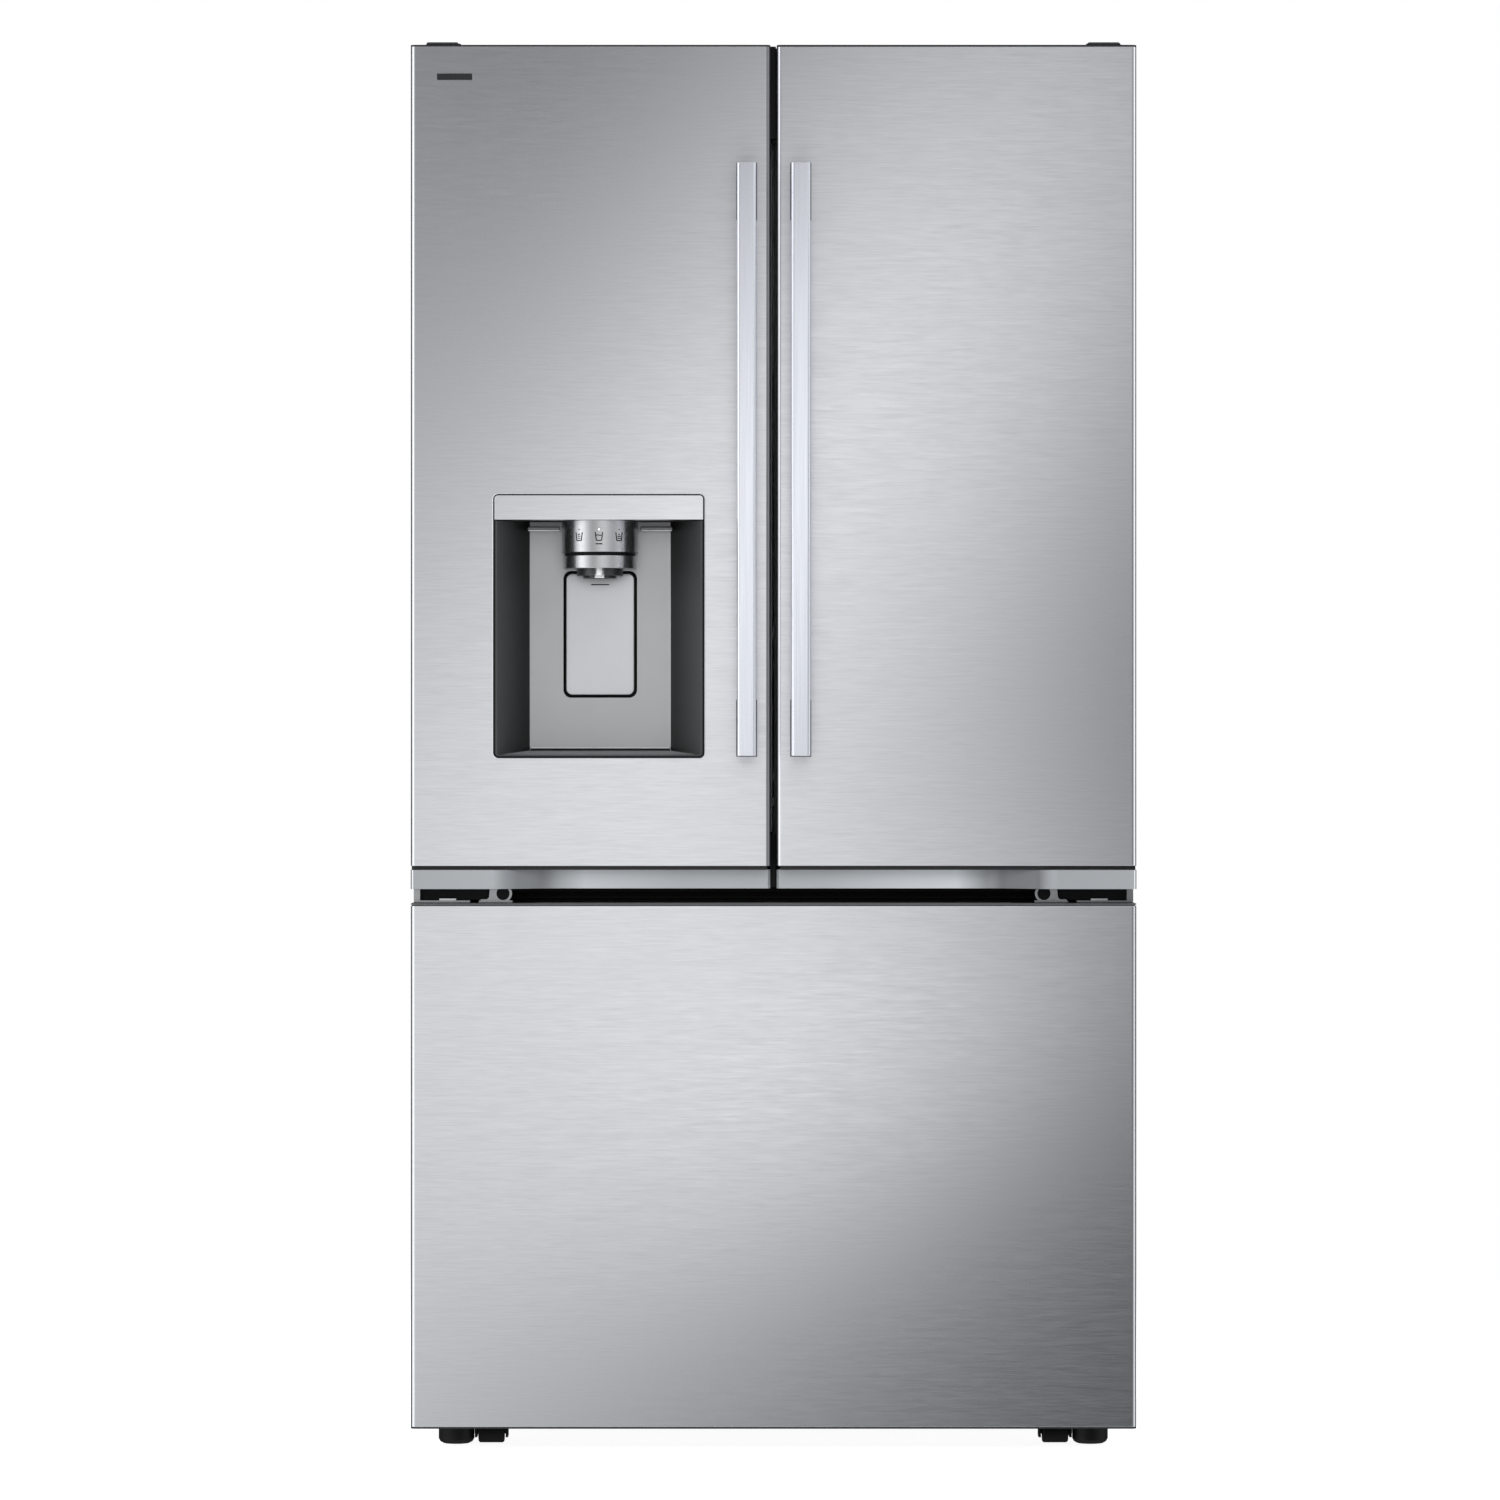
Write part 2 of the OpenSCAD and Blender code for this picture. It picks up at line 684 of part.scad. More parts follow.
// Bottom pan, brackets of the front feet and rollers, rear roller brackets, and the axles
module base_frame() {
    color("dimgray") {
        box([-half + 2, half - 2], [case_y + 2, case_back_y - 2], pan_z);
        both_sides() {
            // boss that holds the leg's stem
            difference() {
                box([-leg_x - 20, -leg_x + 20], [leg_y - 7.5, leg_y + 22], [31, pan_z[0] - apart]);
                translate([-leg_x, leg_y, 20]) cylinder(h = 40, r = 6.1);
            }
            for (r = [front_roller, rear_roller]) {
                cheek_y = [max(r[1] - 20, back_y + 0.5), r[1] + 20];
                axle_z = r[2] + r[3];
                for (x = [-r[0] - roller_w / 2 - 4.5, -r[0] + roller_w / 2 + 1.5]) difference() {
                    box([x, x + 3], cheek_y, [axle_z - 8, pan_z[0] - apart]);
                    translate([x - 1, r[1], axle_z]) rotate([0, 90, 0]) cylinder(h = 5, r = axle_r + 0.05);
                }
                translate([-r[0] - roller_w / 2 - 5, r[1], axle_z]) rotate([0, 90, 0])
                    cylinder(h = roller_w + 10, r = axle_r);
            }
        }
    }
}

// A leveling leg: a wide foot with a bevelled rim, and its stem
module leveling_leg(x) {
    color("black") translate([x, leg_y, 0]) rotate_extrude() polygon([
        [0, 0], [leg_r - 6, 0], [leg_r - 2, 2.2], [leg_r, 6], [leg_r, 23], [leg_r - 1, 24],
        [6, 24], [6, pan_z[0] - 0.2], [0, pan_z[0] - 0.2]
    ]);
}

module left_leveling_leg() {
    leveling_leg(-leg_x);
}

module right_leveling_leg() {
    leveling_leg(leg_x);
}

// A roller on an axle along X, at the left (side = -1) or the right (side = 1)
module roller(place, side) {
    bore = axle_r + pin_slack;
    r = place[2];
    w = roller_w;
    color("black") translate([side * place[0] - w / 2, place[1], r + place[3]]) rotate([0, 90, 0])
        rotate_extrude() polygon([[bore, 0], [r - 2, 0], [r, 2], [r, w - 2], [r - 2, w], [bore, w]]);
}

module front_left_roller() {
    roller(front_roller, -1);
}

module front_right_roller() {
    roller(front_roller, 1);
}

module rear_left_roller() {
    roller(rear_roller, -1);
}

module rear_right_roller() {
    roller(rear_roller, 1);
}

// ---- hinges ----

cover_top = 1780;                         // top of the hinge covers, and of the whole object
arm_z = [door_top + 2.5, door_top + 5.5];
bracket_x = [-438.5, -396];

module top_hinge() {
    base_z = case_top + 4;
    box(bracket_x, [case_y + 4, case_y + 144], [case_top, base_z]);
    box(bracket_x, [case_y + 2.5, case_y + 6], [case_top, arm_z[1]]);
    box([bracket_x[0], -416], [hinge_y - 18, case_y + 6], arm_z);
    translate([-hinge_x, hinge_y, cap_z + 3]) cylinder(h = arm_z[0] - cap_z - 3 + 1, r = hinge_r);
}

middle_plate_z = [drawer_top + 0.4, drawer_top + 3];
closer = [-339.8, 697.7];                 // x and z of the closer's catch, in the gap
closer_r = 8;
gap_top = door_bottom - 0.8;              // highest point of what stands in the gap

// Bottom plate, pin and closer bracket under the door
module middle_hinge() {
    plate_front = hinge_y - 30;
    front = [plate_front, plate_front + 4];
    box([-451.8, -381.3], [plate_front, case_y - 4], middle_plate_z);
    // pad on the plate
    box([-419.8, -398.8], [plate_front + 1, plate_front + 21], [middle_plate_z[1] - 0.5, middle_plate_z[1] + 2.4]);
    // closer bracket: foot, neck, open ring, and the arm back to the mounting flange
    difference() {
        union() {
            along_y(front) polygon([
                [-370.5, middle_plate_z[0]], [-328, middle_plate_z[0]], [-328, middle_plate_z[1]],
                [-344.8, middle_plate_z[1] + 1], [-347, middle_plate_z[1] + 4], [-348, gap_top],
                [-356.4, gap_top], [-357.4, middle_plate_z[1] + 4], [-360, middle_plate_z[1] + 1.5],
                [-367.5, middle_plate_z[1] + 1.5]
            ]);
            intersection() {
                translate([closer[0], 0, closer[1]]) along_y(front) circle(closer_r + 3.3);
                box([-360, -320], front, [middle_plate_z[0], gap_top]);
            }
        }
        translate([closer[0], 0, closer[1]]) along_y([front[0] - 1, front[1] + 1]) circle(closer_r + 0.2);
    }
    box([-370, -364], [plate_front + 1, case_y - 4], middle_plate_z);
    box([-450, -330], [case_y - 4, case_y - 0.2], [680, 702]);
    // upturned lug at the outer end
    box([-452, -444], [plate_front, plate_front + 10], [middle_plate_z[1] - 0.5, gap_top]);
    translate([-hinge_x, hinge_y, middle_plate_z[1] - 1]) cylinder(h = 721 - middle_plate_z[1], r = hinge_r);
}

module hinge_brackets() {
    color("silver") both_sides() {
        top_hinge();
        middle_hinge();
    }
}

// Black covers over the top hinges
module hinge_covers() {
    low = door_top + 1.5;
    top = cover_top;
    tip = door_top + 7.5;
    front = hinge_y - 24;
    rear = case_y + 168;
    wall = 1.8;
    color("black") both_sides() difference() {
        along_x([-440.5, -391]) polygon([
            [front, low], [front, tip], [case_y + 20, top - 1], [case_y + 40, top],
            [rear - 10, top], [rear, top - 8], [rear, case_top + 0.3],
            [case_y + 0.5, case_top + 0.3], [case_y + 0.5, low]
        ]);
        along_x([-440.5 + wall, -391 - wall]) polygon([
            [front + wall, low - 1], [front + wall, tip - wall], [case_y + 20, top - 1 - wall],
            [case_y + 40, top - wall], [rear - 10 - wall, top - wall], [rear - wall, top - 8 - wall],
            [rear - wall, case_top - 1], [case_y + 0.5 + wall, case_top - 1], [case_y + 0.5 + wall, low - 1]
        ]);
    }
}

module hinge_screws() {
    color("dimgray") both_sides() {
        for (y = [case_y + 40, case_y + 80, case_y + 120])
            translate([-417, y, case_top + 4]) cylinder(h = 4, r = 6.5, $fn = 6);
        for (x = [-420, -400])
            translate([x, case_y - 4, 696]) rotate([90, 0, 0]) cylinder(h = 3, r = 4);
        // the closer's catch, flat on top
        intersection() {
            translate([closer[0], 0, closer[1]]) along_y([hinge_y - 31, hinge_y - 25]) circle(closer_r);
            box([-360, -320], [hinge_y - 40, hinge_y], [680, gap_top]);
        }
    }
}

// ---- inside the fridge ----

// All shelves as [x range, height]
shelves = concat(
    [for (z = left_shelves) [[-shelf_x[1], -shelf_x[0]], z]],
    [for (z = right_shelves) [[shelf_x[0], shelf_x[1]], z]],
    [for (z = full_shelves) [[-shelf_x[1], shelf_x[1]], z]]
);

module glass_shelves() {
    color("lightblue") for (s = shelves)
        box(s[0], [shelf_front + 12, shelf_back - 8], [s[1], s[1] + glass_t]);
}

module shelf_frames() {
    color("whitesmoke") {
        for (s = shelves) {
            box(s[0], [shelf_front, shelf_front + 12], [s[1] - 6, s[1] + glass_t + 2]);
            box(s[0], [shelf_back - 8, shelf_back], [s[1] - 4, s[1] + glass_t + 4]);
            for (x = [s[0][0] - 3.1, s[0][1] + 0.1])
                box([x, x + 3], [shelf_front + 16, upright_y - 0.2], [s[1] - 18, s[1] + glass_t + 2]);
        }
        // slotted uprights, on the back wall at the sides and on the duct in the middle
        both_sides() {
            box([-392.6, -380.6], [upright_y, inner_back_y - liner_t - 0.2], upright_z);
            box([-13, -1], [upright_y, duct_y - 0.2], upright_z);
        }
    }
}

module air_ducts() {
    color("white") {
        box([-100, 100], [duct_y, inner_back_y - liner_t - apart], [1060, 1690]);
        box([-380, 380], [duct_y, inner_back_y - liner_t - apart], [360, 650]);
    }
}

module crisper(x, z) {
    tray(x, crisper_y, z, bin_t);
    // grip along the front's top edge
    box([x[0] + 40, x[1] - 40], [crisper_y[0] - 5, crisper_y[0]], [z[1] - 18, z[1] - 4]);
}

module left_crisper() {
    color("lightcyan") crisper([-392, -6], crisper_z);
}

module right_crisper() {
    color("lightcyan") crisper([6, 392], crisper_z);
}

module pantry_drawer() {
    color("lightcyan") crisper([-392, 392], pantry_z);
}

// ---- inside the freezer ----

module freezer_rails() {
    inner = wall_x - liner_t - apart;
    color("silver") both_sides() {
        box([-inner, -389], [case_y + 8, rail_end], rail_z);
        // ledges of the upper basket
        box([-inner, -374], [-180, rail_end], [430, 438]);
    }
}

module upper_freezer_basket() {
    color("whitesmoke") tray([-372, 372], [-90, 298], upper_basket_z, bin_t);
    color("whitesmoke") both_sides() box([-386, -372], [-86, 290], [440, 446]);
}

// ---- machine compartment and back ----

module machine_cover() {
    color("gray") difference() {
        box([-440, 440], [case_back_y + 0.2, case_back_y + 2], [46, 298]);
        for (x = [-400:32:-112], z = [90, 190])
            box([x, x + 18], [case_back_y - 1, case_back_y + 3], [z, z + 60]);
        for (x = [60:32:380], z = [90, 190])
            box([x, x + 18], [case_back_y - 1, case_back_y + 3], [z, z + 60]);
    }
}

module compressor() {
    color("dimgray") translate([-270, 270, case_z]) {
        for (sx = [-1, 1], sy = [-1, 1]) translate([sx * 85, sy * 55, 0]) cylinder(h = 14, r = 11);
        translate([-105, -70, 14]) cube([210, 140, 4]);
        translate([0, 0, 18]) cylinder(h = 110, r = 72);
        translate([0, 0, 128]) cylinder(h = 34, r1 = 72, r2 = 44, $fn = 64);
        translate([68, 0, 60]) rotate([0, 90, 0]) cylinder(h = 22, r = 24);
    }
}

module condenser() {
    tube_x = [90, 340];
    color("dimgray") {
        for (z = [70:32:230], y = [230, 290]) translate([tube_x[0], y, z])
            rotate([0, 90, 0]) cylinder(h = tube_x[1] - tube_x[0], r = 4);
        for (x = [100:25:325]) box([x, x + 1], [205, 315], [case_z, 246]);
    }
}

fan_at = [-20, 270, 160];                 // centre of the condenser fan, whose axis lies along X

module fan_shroud() {
    color("black") translate(fan_at) {
        difference() {
            translate([-12, -90, case_z - fan_at[2]]) cube([24, 180, 220]);
            translate([-13, 0, 0]) rotate([0, 90, 0]) cylinder(h = 26, r = 80);
        }
        // motor on three arms
        translate([18, 0, 0]) rotate([0, 90, 0]) cylinder(h = 30, r = 22);
        for (a = [30, 150, 270]) rotate([a, 0, 0]) translate([12.5, -4, 15]) cube([6, 8, 70]);
    }
}

module condenser_fan() {
    color("gray") translate(fan_at) {
        translate([-8, 0, 0]) rotate([0, 90, 0]) cylinder(h = 18, r = 20);
        rotate([0, 90, 0]) cylinder(h = 17.5, r = 3);
        for (a = [0:72:288]) rotate([a, 0, 0]) translate([0, 0, 46]) rotate([0, 0, 32])
            cube([2, 34, 60], center = true);
    }
}

inlet_at = [275, 360];                    // x and z of the water inlet
inlet_r = 5.55;
gland_at = [-60, 130];                    // x and z of the power cord gland
gland_r = 4.5;

// Water inlet fitting and power cord gland
module rear_ports() {
    y = case_back_y + 2;
    color("gold") {
        translate([inlet_at[0], case_back_y, inlet_at[1]]) rotate([-90, 0, 0]) {
            cylinder(h = 3, r = 11, $fn = 6);
            cylinder(h = rear_y - case_back_y, r = inlet_r);
        }
        translate([gland_at[0], y, gland_at[1]]) rotate([-90, 0, 0]) difference() {
            cylinder(h = 8, r = 12);
            translate([0, 0, -1]) cylinder(h = 10, r = gland_r);
        }
    }
}

// ================= every node =================

cabinet_shell();
insulation_panels();
fridge_liner();
freezer_liner();
back_panel();
center_crossbar();
base_frame();
left_leveling_leg();
right_leveling_leg();
hinge_brackets();
hinge_covers();
hinge_screws();
glass_shelves();
shelf_frames();
air_ducts();
freezer_rails();
machine_cover();
compressor();
condenser();
fan_shroud();
rear_ports();
front_left_roller();
front_right_roller();
rear_left_roller();
rear_right_roller();
condenser_fan();
left_crisper();
right_crisper();
pantry_drawer();
upper_freezer_basket();
drawer_mid_rails();
drawer_skin();
drawer_insulation();
drawer_liner();
drawer_caps();
drawer_gasket();
drawer_rails();
freezer_basket();
left_door_skin();
left_door_insulation();
left_door_liner();
left_door_caps();
left_door_gasket();
mullion();
left_handle();
left_handle_mounts();
left_door_bins();
dispenser_housing();
dispenser_head();
dispenser_spout();
dispenser_paddle();
ice_compartment();
right_door_skin();
right_door_insulation();
right_door_liner();
right_door_caps();
right_door_gasket();
right_handle();
right_handle_mounts();
right_door_bins();
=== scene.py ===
"""French door refrigerator: looks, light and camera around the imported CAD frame. Metres."""

import json
import math

import bmesh
import bpy
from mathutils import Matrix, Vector

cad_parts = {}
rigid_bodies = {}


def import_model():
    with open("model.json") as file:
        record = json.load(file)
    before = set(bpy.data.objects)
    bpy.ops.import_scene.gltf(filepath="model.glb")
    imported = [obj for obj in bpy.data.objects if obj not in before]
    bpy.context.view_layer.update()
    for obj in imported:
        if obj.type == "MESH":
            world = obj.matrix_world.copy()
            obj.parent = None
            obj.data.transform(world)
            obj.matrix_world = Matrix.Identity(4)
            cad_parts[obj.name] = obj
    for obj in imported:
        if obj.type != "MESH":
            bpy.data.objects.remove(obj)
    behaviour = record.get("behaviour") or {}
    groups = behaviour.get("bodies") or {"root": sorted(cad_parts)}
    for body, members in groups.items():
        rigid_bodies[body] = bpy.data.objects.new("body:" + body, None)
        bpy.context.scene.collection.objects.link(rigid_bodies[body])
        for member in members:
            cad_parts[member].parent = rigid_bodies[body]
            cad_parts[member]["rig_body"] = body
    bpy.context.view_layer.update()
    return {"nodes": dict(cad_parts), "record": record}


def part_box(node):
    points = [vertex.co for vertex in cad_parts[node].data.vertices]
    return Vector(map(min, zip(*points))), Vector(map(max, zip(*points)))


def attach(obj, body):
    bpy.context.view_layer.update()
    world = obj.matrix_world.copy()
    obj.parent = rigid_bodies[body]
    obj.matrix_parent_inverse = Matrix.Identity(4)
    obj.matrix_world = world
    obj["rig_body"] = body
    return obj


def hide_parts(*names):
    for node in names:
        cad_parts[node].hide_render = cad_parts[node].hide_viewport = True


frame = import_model()
nodes = frame["nodes"]
node_slots = {row["node"]: row["material_slot"] for row in frame["record"]["subparts"]}

MM = 0.001
SIDES = (("left", -1), ("right", 1))

skin_low, skin_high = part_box("left_door_skin")
trim_low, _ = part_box("left_door_caps")
FACE_Y = skin_low.y             # the doors' front faces
DOOR_EDGE = abs(skin_low.x)     # the doors' outer edges, left and right of the middle


# ---------------------------------------------------------------- camera

CAMERA_X = -29.5 * MM
CAMERA_Z = 878 * MM
CAMERA_BACK = 8.0               # distance from the doors' faces
FRAME_WIDTH = 1.876             # what the photograph's frame spans at the doors' faces
SENSOR = 36                     # in millimetres, as the lens

camera = bpy.data.objects.new("camera", bpy.data.cameras.new("camera"))
camera.data.sensor_width = SENSOR
camera.data.lens = SENSOR * CAMERA_BACK / FRAME_WIDTH
camera.data.clip_end = 100
camera.location = (CAMERA_X, FACE_Y - CAMERA_BACK, CAMERA_Z)
camera.rotation_euler = (math.pi / 2, 0, 0)
bpy.context.scene.collection.objects.link(camera)
bpy.context.scene.camera = camera


# ---------------------------------------------------------------- materials

class Nodes:
    """The nodes of a new material or world, with short calls for what is needed here."""

    def __init__(self, name, kind=bpy.data.materials):
        self.owner = kind.new(name)
        self.owner.use_nodes = True
        self.tree = self.owner.node_tree
        self.shader = self.tree.nodes.get("Principled BSDF")

    def add(self, kind, **values):
        """A new node; each value is an input if the node has one of that name."""
        node = self.tree.nodes.new(kind)
        for key, value in values.items():
            if key in node.inputs:
                node.inputs[key].default_value = value
            else:
                setattr(node, key, value)
        return node

    def link(self, source, target):
        self.tree.links.new(source, target)

    def set(self, **values):
        """Sets the shader's own inputs; an underscore stands for a space."""
        for key, value in values.items():
            self.shader.inputs[key.replace("_", " ")].default_value = value

    def calc(self, operation, *values):
        """One step of arithmetic between sockets or numbers."""
        node = self.add("ShaderNodeMath", operation=operation)
        for socket, value in zip(node.inputs, values):
            if isinstance(value, (int, float)):
                socket.default_value = value
            else:
                self.link(value, socket)
        return node.outputs[0]

    def axes(self, output="Object"):
        """The X, Y and Z sockets of the point's own coordinates."""
        place = self.add("ShaderNodeTexCoord")
        split = self.add("ShaderNodeSeparateXYZ")
        self.link(place.outputs[output], split.inputs[0])
        return split.outputs

    def noise(self, scale, detail=4.0):
        """Noise from 0 to 1, with a scale along each axis."""
        place = self.add("ShaderNodeTexCoord")
        mapping = self.add("ShaderNodeMapping", Scale=scale)
        self.link(place.outputs["Object"], mapping.inputs["Vector"])
        node = self.add("ShaderNodeTexNoise", Scale=1.0, Detail=detail, Roughness=0.55)
        self.link(mapping.outputs["Vector"], node.inputs["Vector"])
        return node.outputs["Fac"]

    def clouds(self):
        """A slow, soft variation."""
        return self.noise((6, 6, 6), detail=5)

    def spread(self, value, low, high, start=0.3, stop=0.7):
        """value's range from start to stop, as numbers from low to high."""
        node = self.add("ShaderNodeMapRange")
        node.inputs["From Min"].default_value = start
        node.inputs["From Max"].default_value = stop
        node.inputs["To Min"].default_value = low
        node.inputs["To Max"].default_value = high
        self.link(value, node.inputs["Value"])
        return node.outputs["Result"]

    def ramp(self, value, stops):
        """A colour that follows value, from 0 to 1, through (position, colour) stops."""
        node = self.add("ShaderNodeValToRGB")
        marks = node.color_ramp.elements
        marks[0].position, marks[1].position = 0, 1
        for position, colour in stops:
            mark = marks.new(position)
            mark.color = (*colour, 1)
        marks[0].color, marks[-1].color = marks[1].color, marks[-2].color
        self.link(value, node.inputs["Fac"])
        return node.outputs["Color"]

    def tint(self, value, dark, light):
        """A base colour between dark and light, as value goes from 0.3 to 0.7."""
        node = self.add("ShaderNodeMix", data_type="RGBA")
        self.link(self.spread(value, 0, 1), node.inputs["Factor"])
        node.inputs["A"].default_value = (*dark, 1)
        node.inputs["B"].default_value = (*light, 1)
        self.link(node.outputs["Result"], self.shader.inputs["Base Color"])

    def rough(self, value, low, high):
        """A roughness from low to high, as value goes from 0.3 to 0.7."""
        self.link(self.spread(value, low, high), self.shader.inputs["Roughness"])

    def bump(self, value, distance, strength):
        """Bumps up to distance high, where value is 1."""
        node = self.add("ShaderNodeBump", Distance=distance, Strength=strength)
        self.link(value, node.inputs["Height"])
        self.link(node.outputs["Normal"], self.shader.inputs["Normal"])

    def fine_grain(self, scale=900, depth=0.00003):
        """The fine bumps of a moulded or painted surface."""
        self.bump(self.noise((scale, scale, scale), detail=2), depth, 0.6)


SCRATCHES = {                   # noise scales of the fine and of the coarse scratches along an axis
    "X": ((34, 900, 900), (14, 260, 260)),
    "Z": ((900, 900, 8), (260, 260, 2)),
}


def brushed(name, dark, light, rough, along="X", aniso=0.55, bump=0.00004):
    """Brushed metal with fine scratches along one axis."""
    n = Nodes(name)
    fine, coarse = SCRATCHES[along]
    streaks = n.noise(fine, detail=3)
    patches = n.noise(coarse, detail=2)
    both = n.calc("ADD", n.calc("MULTIPLY", streaks, 0.75), n.calc("MULTIPLY", patches, 0.25))
    n.tint(both, dark, light)
    n.rough(both, rough + 0.05, rough - 0.05)
    n.bump(streaks, bump, 0.5)
    n.set(Metallic=1.0, Anisotropic=aniso)
    if along == "X":
        n.set(Anisotropic_Rotation=0.25)
    tangent = n.add("ShaderNodeTangent", direction_type="RADIAL", axis="Z")
    n.link(tangent.outputs["Tangent"], n.shader.inputs["Tangent"])
    return n.owner


def moulded(name, dark, light, rough, grain=900, bump=0.00003, coat=0.0, metal=0.0, shine=0.5):
    """Moulded plastic or paint: a fine grain, and a slow change in colour and gloss."""
    n = Nodes(name)
    slow = n.clouds()
    n.tint(slow, dark, light)
    n.rough(slow, rough - 0.03, rough + 0.03)
    n.fine_grain(grain, bump)
    n.set(Coat_Weight=coat, Coat_Roughness=0.12, Metallic=metal, Specular_IOR_Level=shine)
    return n.owner


def clear(name, colour, rough, alpha):
    """Clear moulded plastic or glass, thin enough to see through."""
    n = Nodes(name)
    n.tint(n.noise((5, 5, 5)), [c * 0.94 for c in colour], colour)
    n.set(Alpha=alpha, Roughness=rough, IOR=1.5)
    return n.owner


def glowing(name, colour, strength):
    """A lit lens or sign."""
    n = Nodes(name)
    n.tint(n.noise((40, 40, 40)), [c * 0.96 for c in colour], colour)
    n.set(Emission_Color=(*colour, 1), Emission_Strength=strength, Roughness=0.3)
    return n.owner


TRIM_PAINTED_SHADE = (                  # the trim's grey at each x, painted shade and reflection: darker on the curves of its recess, lighter between them
    (-0.450, 0.31), (-0.352, 0.33), (-0.322, 0.19), (-0.292, 0.22), (-0.238, 0.53), (-0.120, 0.42),
    (0.060, 0.45), (0.232, 0.72), (0.287, 0.13), (0.332, 0.11), (0.354, 0.36), (0.450, 0.43),
)
TONE_DRIFT = 0.01               # how far the clouds move these tones along x


def shaded_trim_material():
    """Satin trim, with painted shade and reflection changing its tone along x."""
    n = Nodes("trim_grey")
    slow = n.clouds()
    along = n.calc("ADD", n.calc("ADD", n.axes()["X"], 0.5 - TONE_DRIFT / 2),
                   n.calc("MULTIPLY", slow, TONE_DRIFT))
    stops = [(x + 0.5, (tone * 0.97, tone * 1.01, tone * 1.05)) for x, tone in TRIM_PAINTED_SHADE]
    n.link(n.ramp(along, stops), n.shader.inputs["Base Color"])
    n.rough(slow, 0.29, 0.39)
    n.fine_grain()
    n.set(Metallic=0.6)
    return n.owner


TRIM_SHADE_LINE = 1.3 * MM            # width of the painted dark line of shade at the trim's outer ends


def trim_highlight_material():
    """The trim's chamfer, a brighter polished copy of the trim as a painted highlight, with a
    painted dark line of shade along the outer edge.
    """
    n = Nodes("trim_edge")
    tone = n.spread(n.calc("ABSOLUTE", n.axes()["X"]), 0.66, 0.30,
                    DOOR_EDGE - TRIM_SHADE_LINE * 1.1, DOOR_EDGE - TRIM_SHADE_LINE * 0.9)
    grain = n.noise((90, 90, 90))
    n.tint(n.calc("ADD", tone, n.calc("MULTIPLY", grain, 0.06)),
           (0.02, 0.02, 0.021), (0.80, 0.81, 0.82))
    n.rough(grain, 0.12, 0.20)
    n.set(Metallic=1.0)
    return n.owner


NICHE_SHADE_DEPTH = 60 * MM            # how far in from the doors' faces the painted shade darkens the niche's sides


def shaded_niche_side_material():
    """Dark satin plastic with painted shade: darker deeper into the niche, greyer towards the outer
    edge.
    """
    n = Nodes("niche_side")
    slow = n.clouds()
    depth = n.spread(n.axes()["Y"], 0.62, 0.26, FACE_Y, FACE_Y + NICHE_SHADE_DEPTH)
    n.tint(n.calc("MULTIPLY_ADD", slow, 0.12, depth),
           (0.004, 0.0042, 0.0044), (0.042, 0.043, 0.044))
    n.rough(slow, 0.40, 0.50)
    n.set(Specular_IOR_Level=0.25)
    n.fine_grain()
    return n.owner


STAINLESS = brushed("stainless", (0.555, 0.561, 0.579), (0.645, 0.652, 0.673), 0.33)
HEADER = brushed("header_steel", (0.60, 0.606, 0.622), (0.69, 0.697, 0.715), 0.33)
HEAD = brushed("head_metal", (0.40, 0.402, 0.408), (0.47, 0.472, 0.48), 0.30)
# darker copies of the steel: painted shade on the doors' sides, on their edge rounds and in the gap
# between them
SHADED_STEEL = brushed("steel_painted_shade", (0.20, 0.202, 0.208), (0.25, 0.253, 0.26), 0.42,
                     along="Z", aniso=0.3)
GAP_SHADE = brushed("gap_painted_shade", (0.24, 0.243, 0.25), (0.30, 0.304, 0.312), 0.38,
               along="Z", aniso=0.3)
SATIN = brushed("satin_handle", (0.625, 0.643, 0.69), (0.68, 0.698, 0.745), 0.27,
                along="Z", aniso=0.35, bump=0.00001)
BAND = moulded("satin_band", (0.64, 0.65, 0.67), (0.68, 0.69, 0.71), 0.28,
               bump=0.00001, metal=1.0)
# nearly black: painted shade on the handles' mounts
SHADED_MOUNT = moulded("mount_grey", (0.030, 0.032, 0.028), (0.042, 0.044, 0.040), 0.36, metal=0.5)
TRIM = shaded_trim_material()
TRIM_HIGHLIGHT = trim_highlight_material()
# a bright copy of metal: painted highlights on the right door's edge round and in a ring round the
# niche
PAINTED_GLINT = moulded("painted_highlight_metal", (0.74, 0.75, 0.76), (0.80, 0.81, 0.82), 0.16, metal=1.0)
LIP = moulded("lip_grey", (0.060, 0.061, 0.064), (0.080, 0.081, 0.085), 0.42, shine=0.3)
# near black: the door caps' tops, the badge, the drawer's bottom cap, and painted shade in grooves
# and along the steel's rounds
EDGE = moulded("dark_edge", (0.008, 0.008, 0.009), (0.014, 0.014, 0.015), 0.5, shine=0.3)
CASE = moulded("case_grey", (0.090, 0.093, 0.099), (0.100, 0.103, 0.110), 0.42,
               grain=420, bump=0.00012)
ZINC = brushed("zinc_plate", (0.52, 0.52, 0.53), (0.66, 0.66, 0.67), 0.26, aniso=0.2)
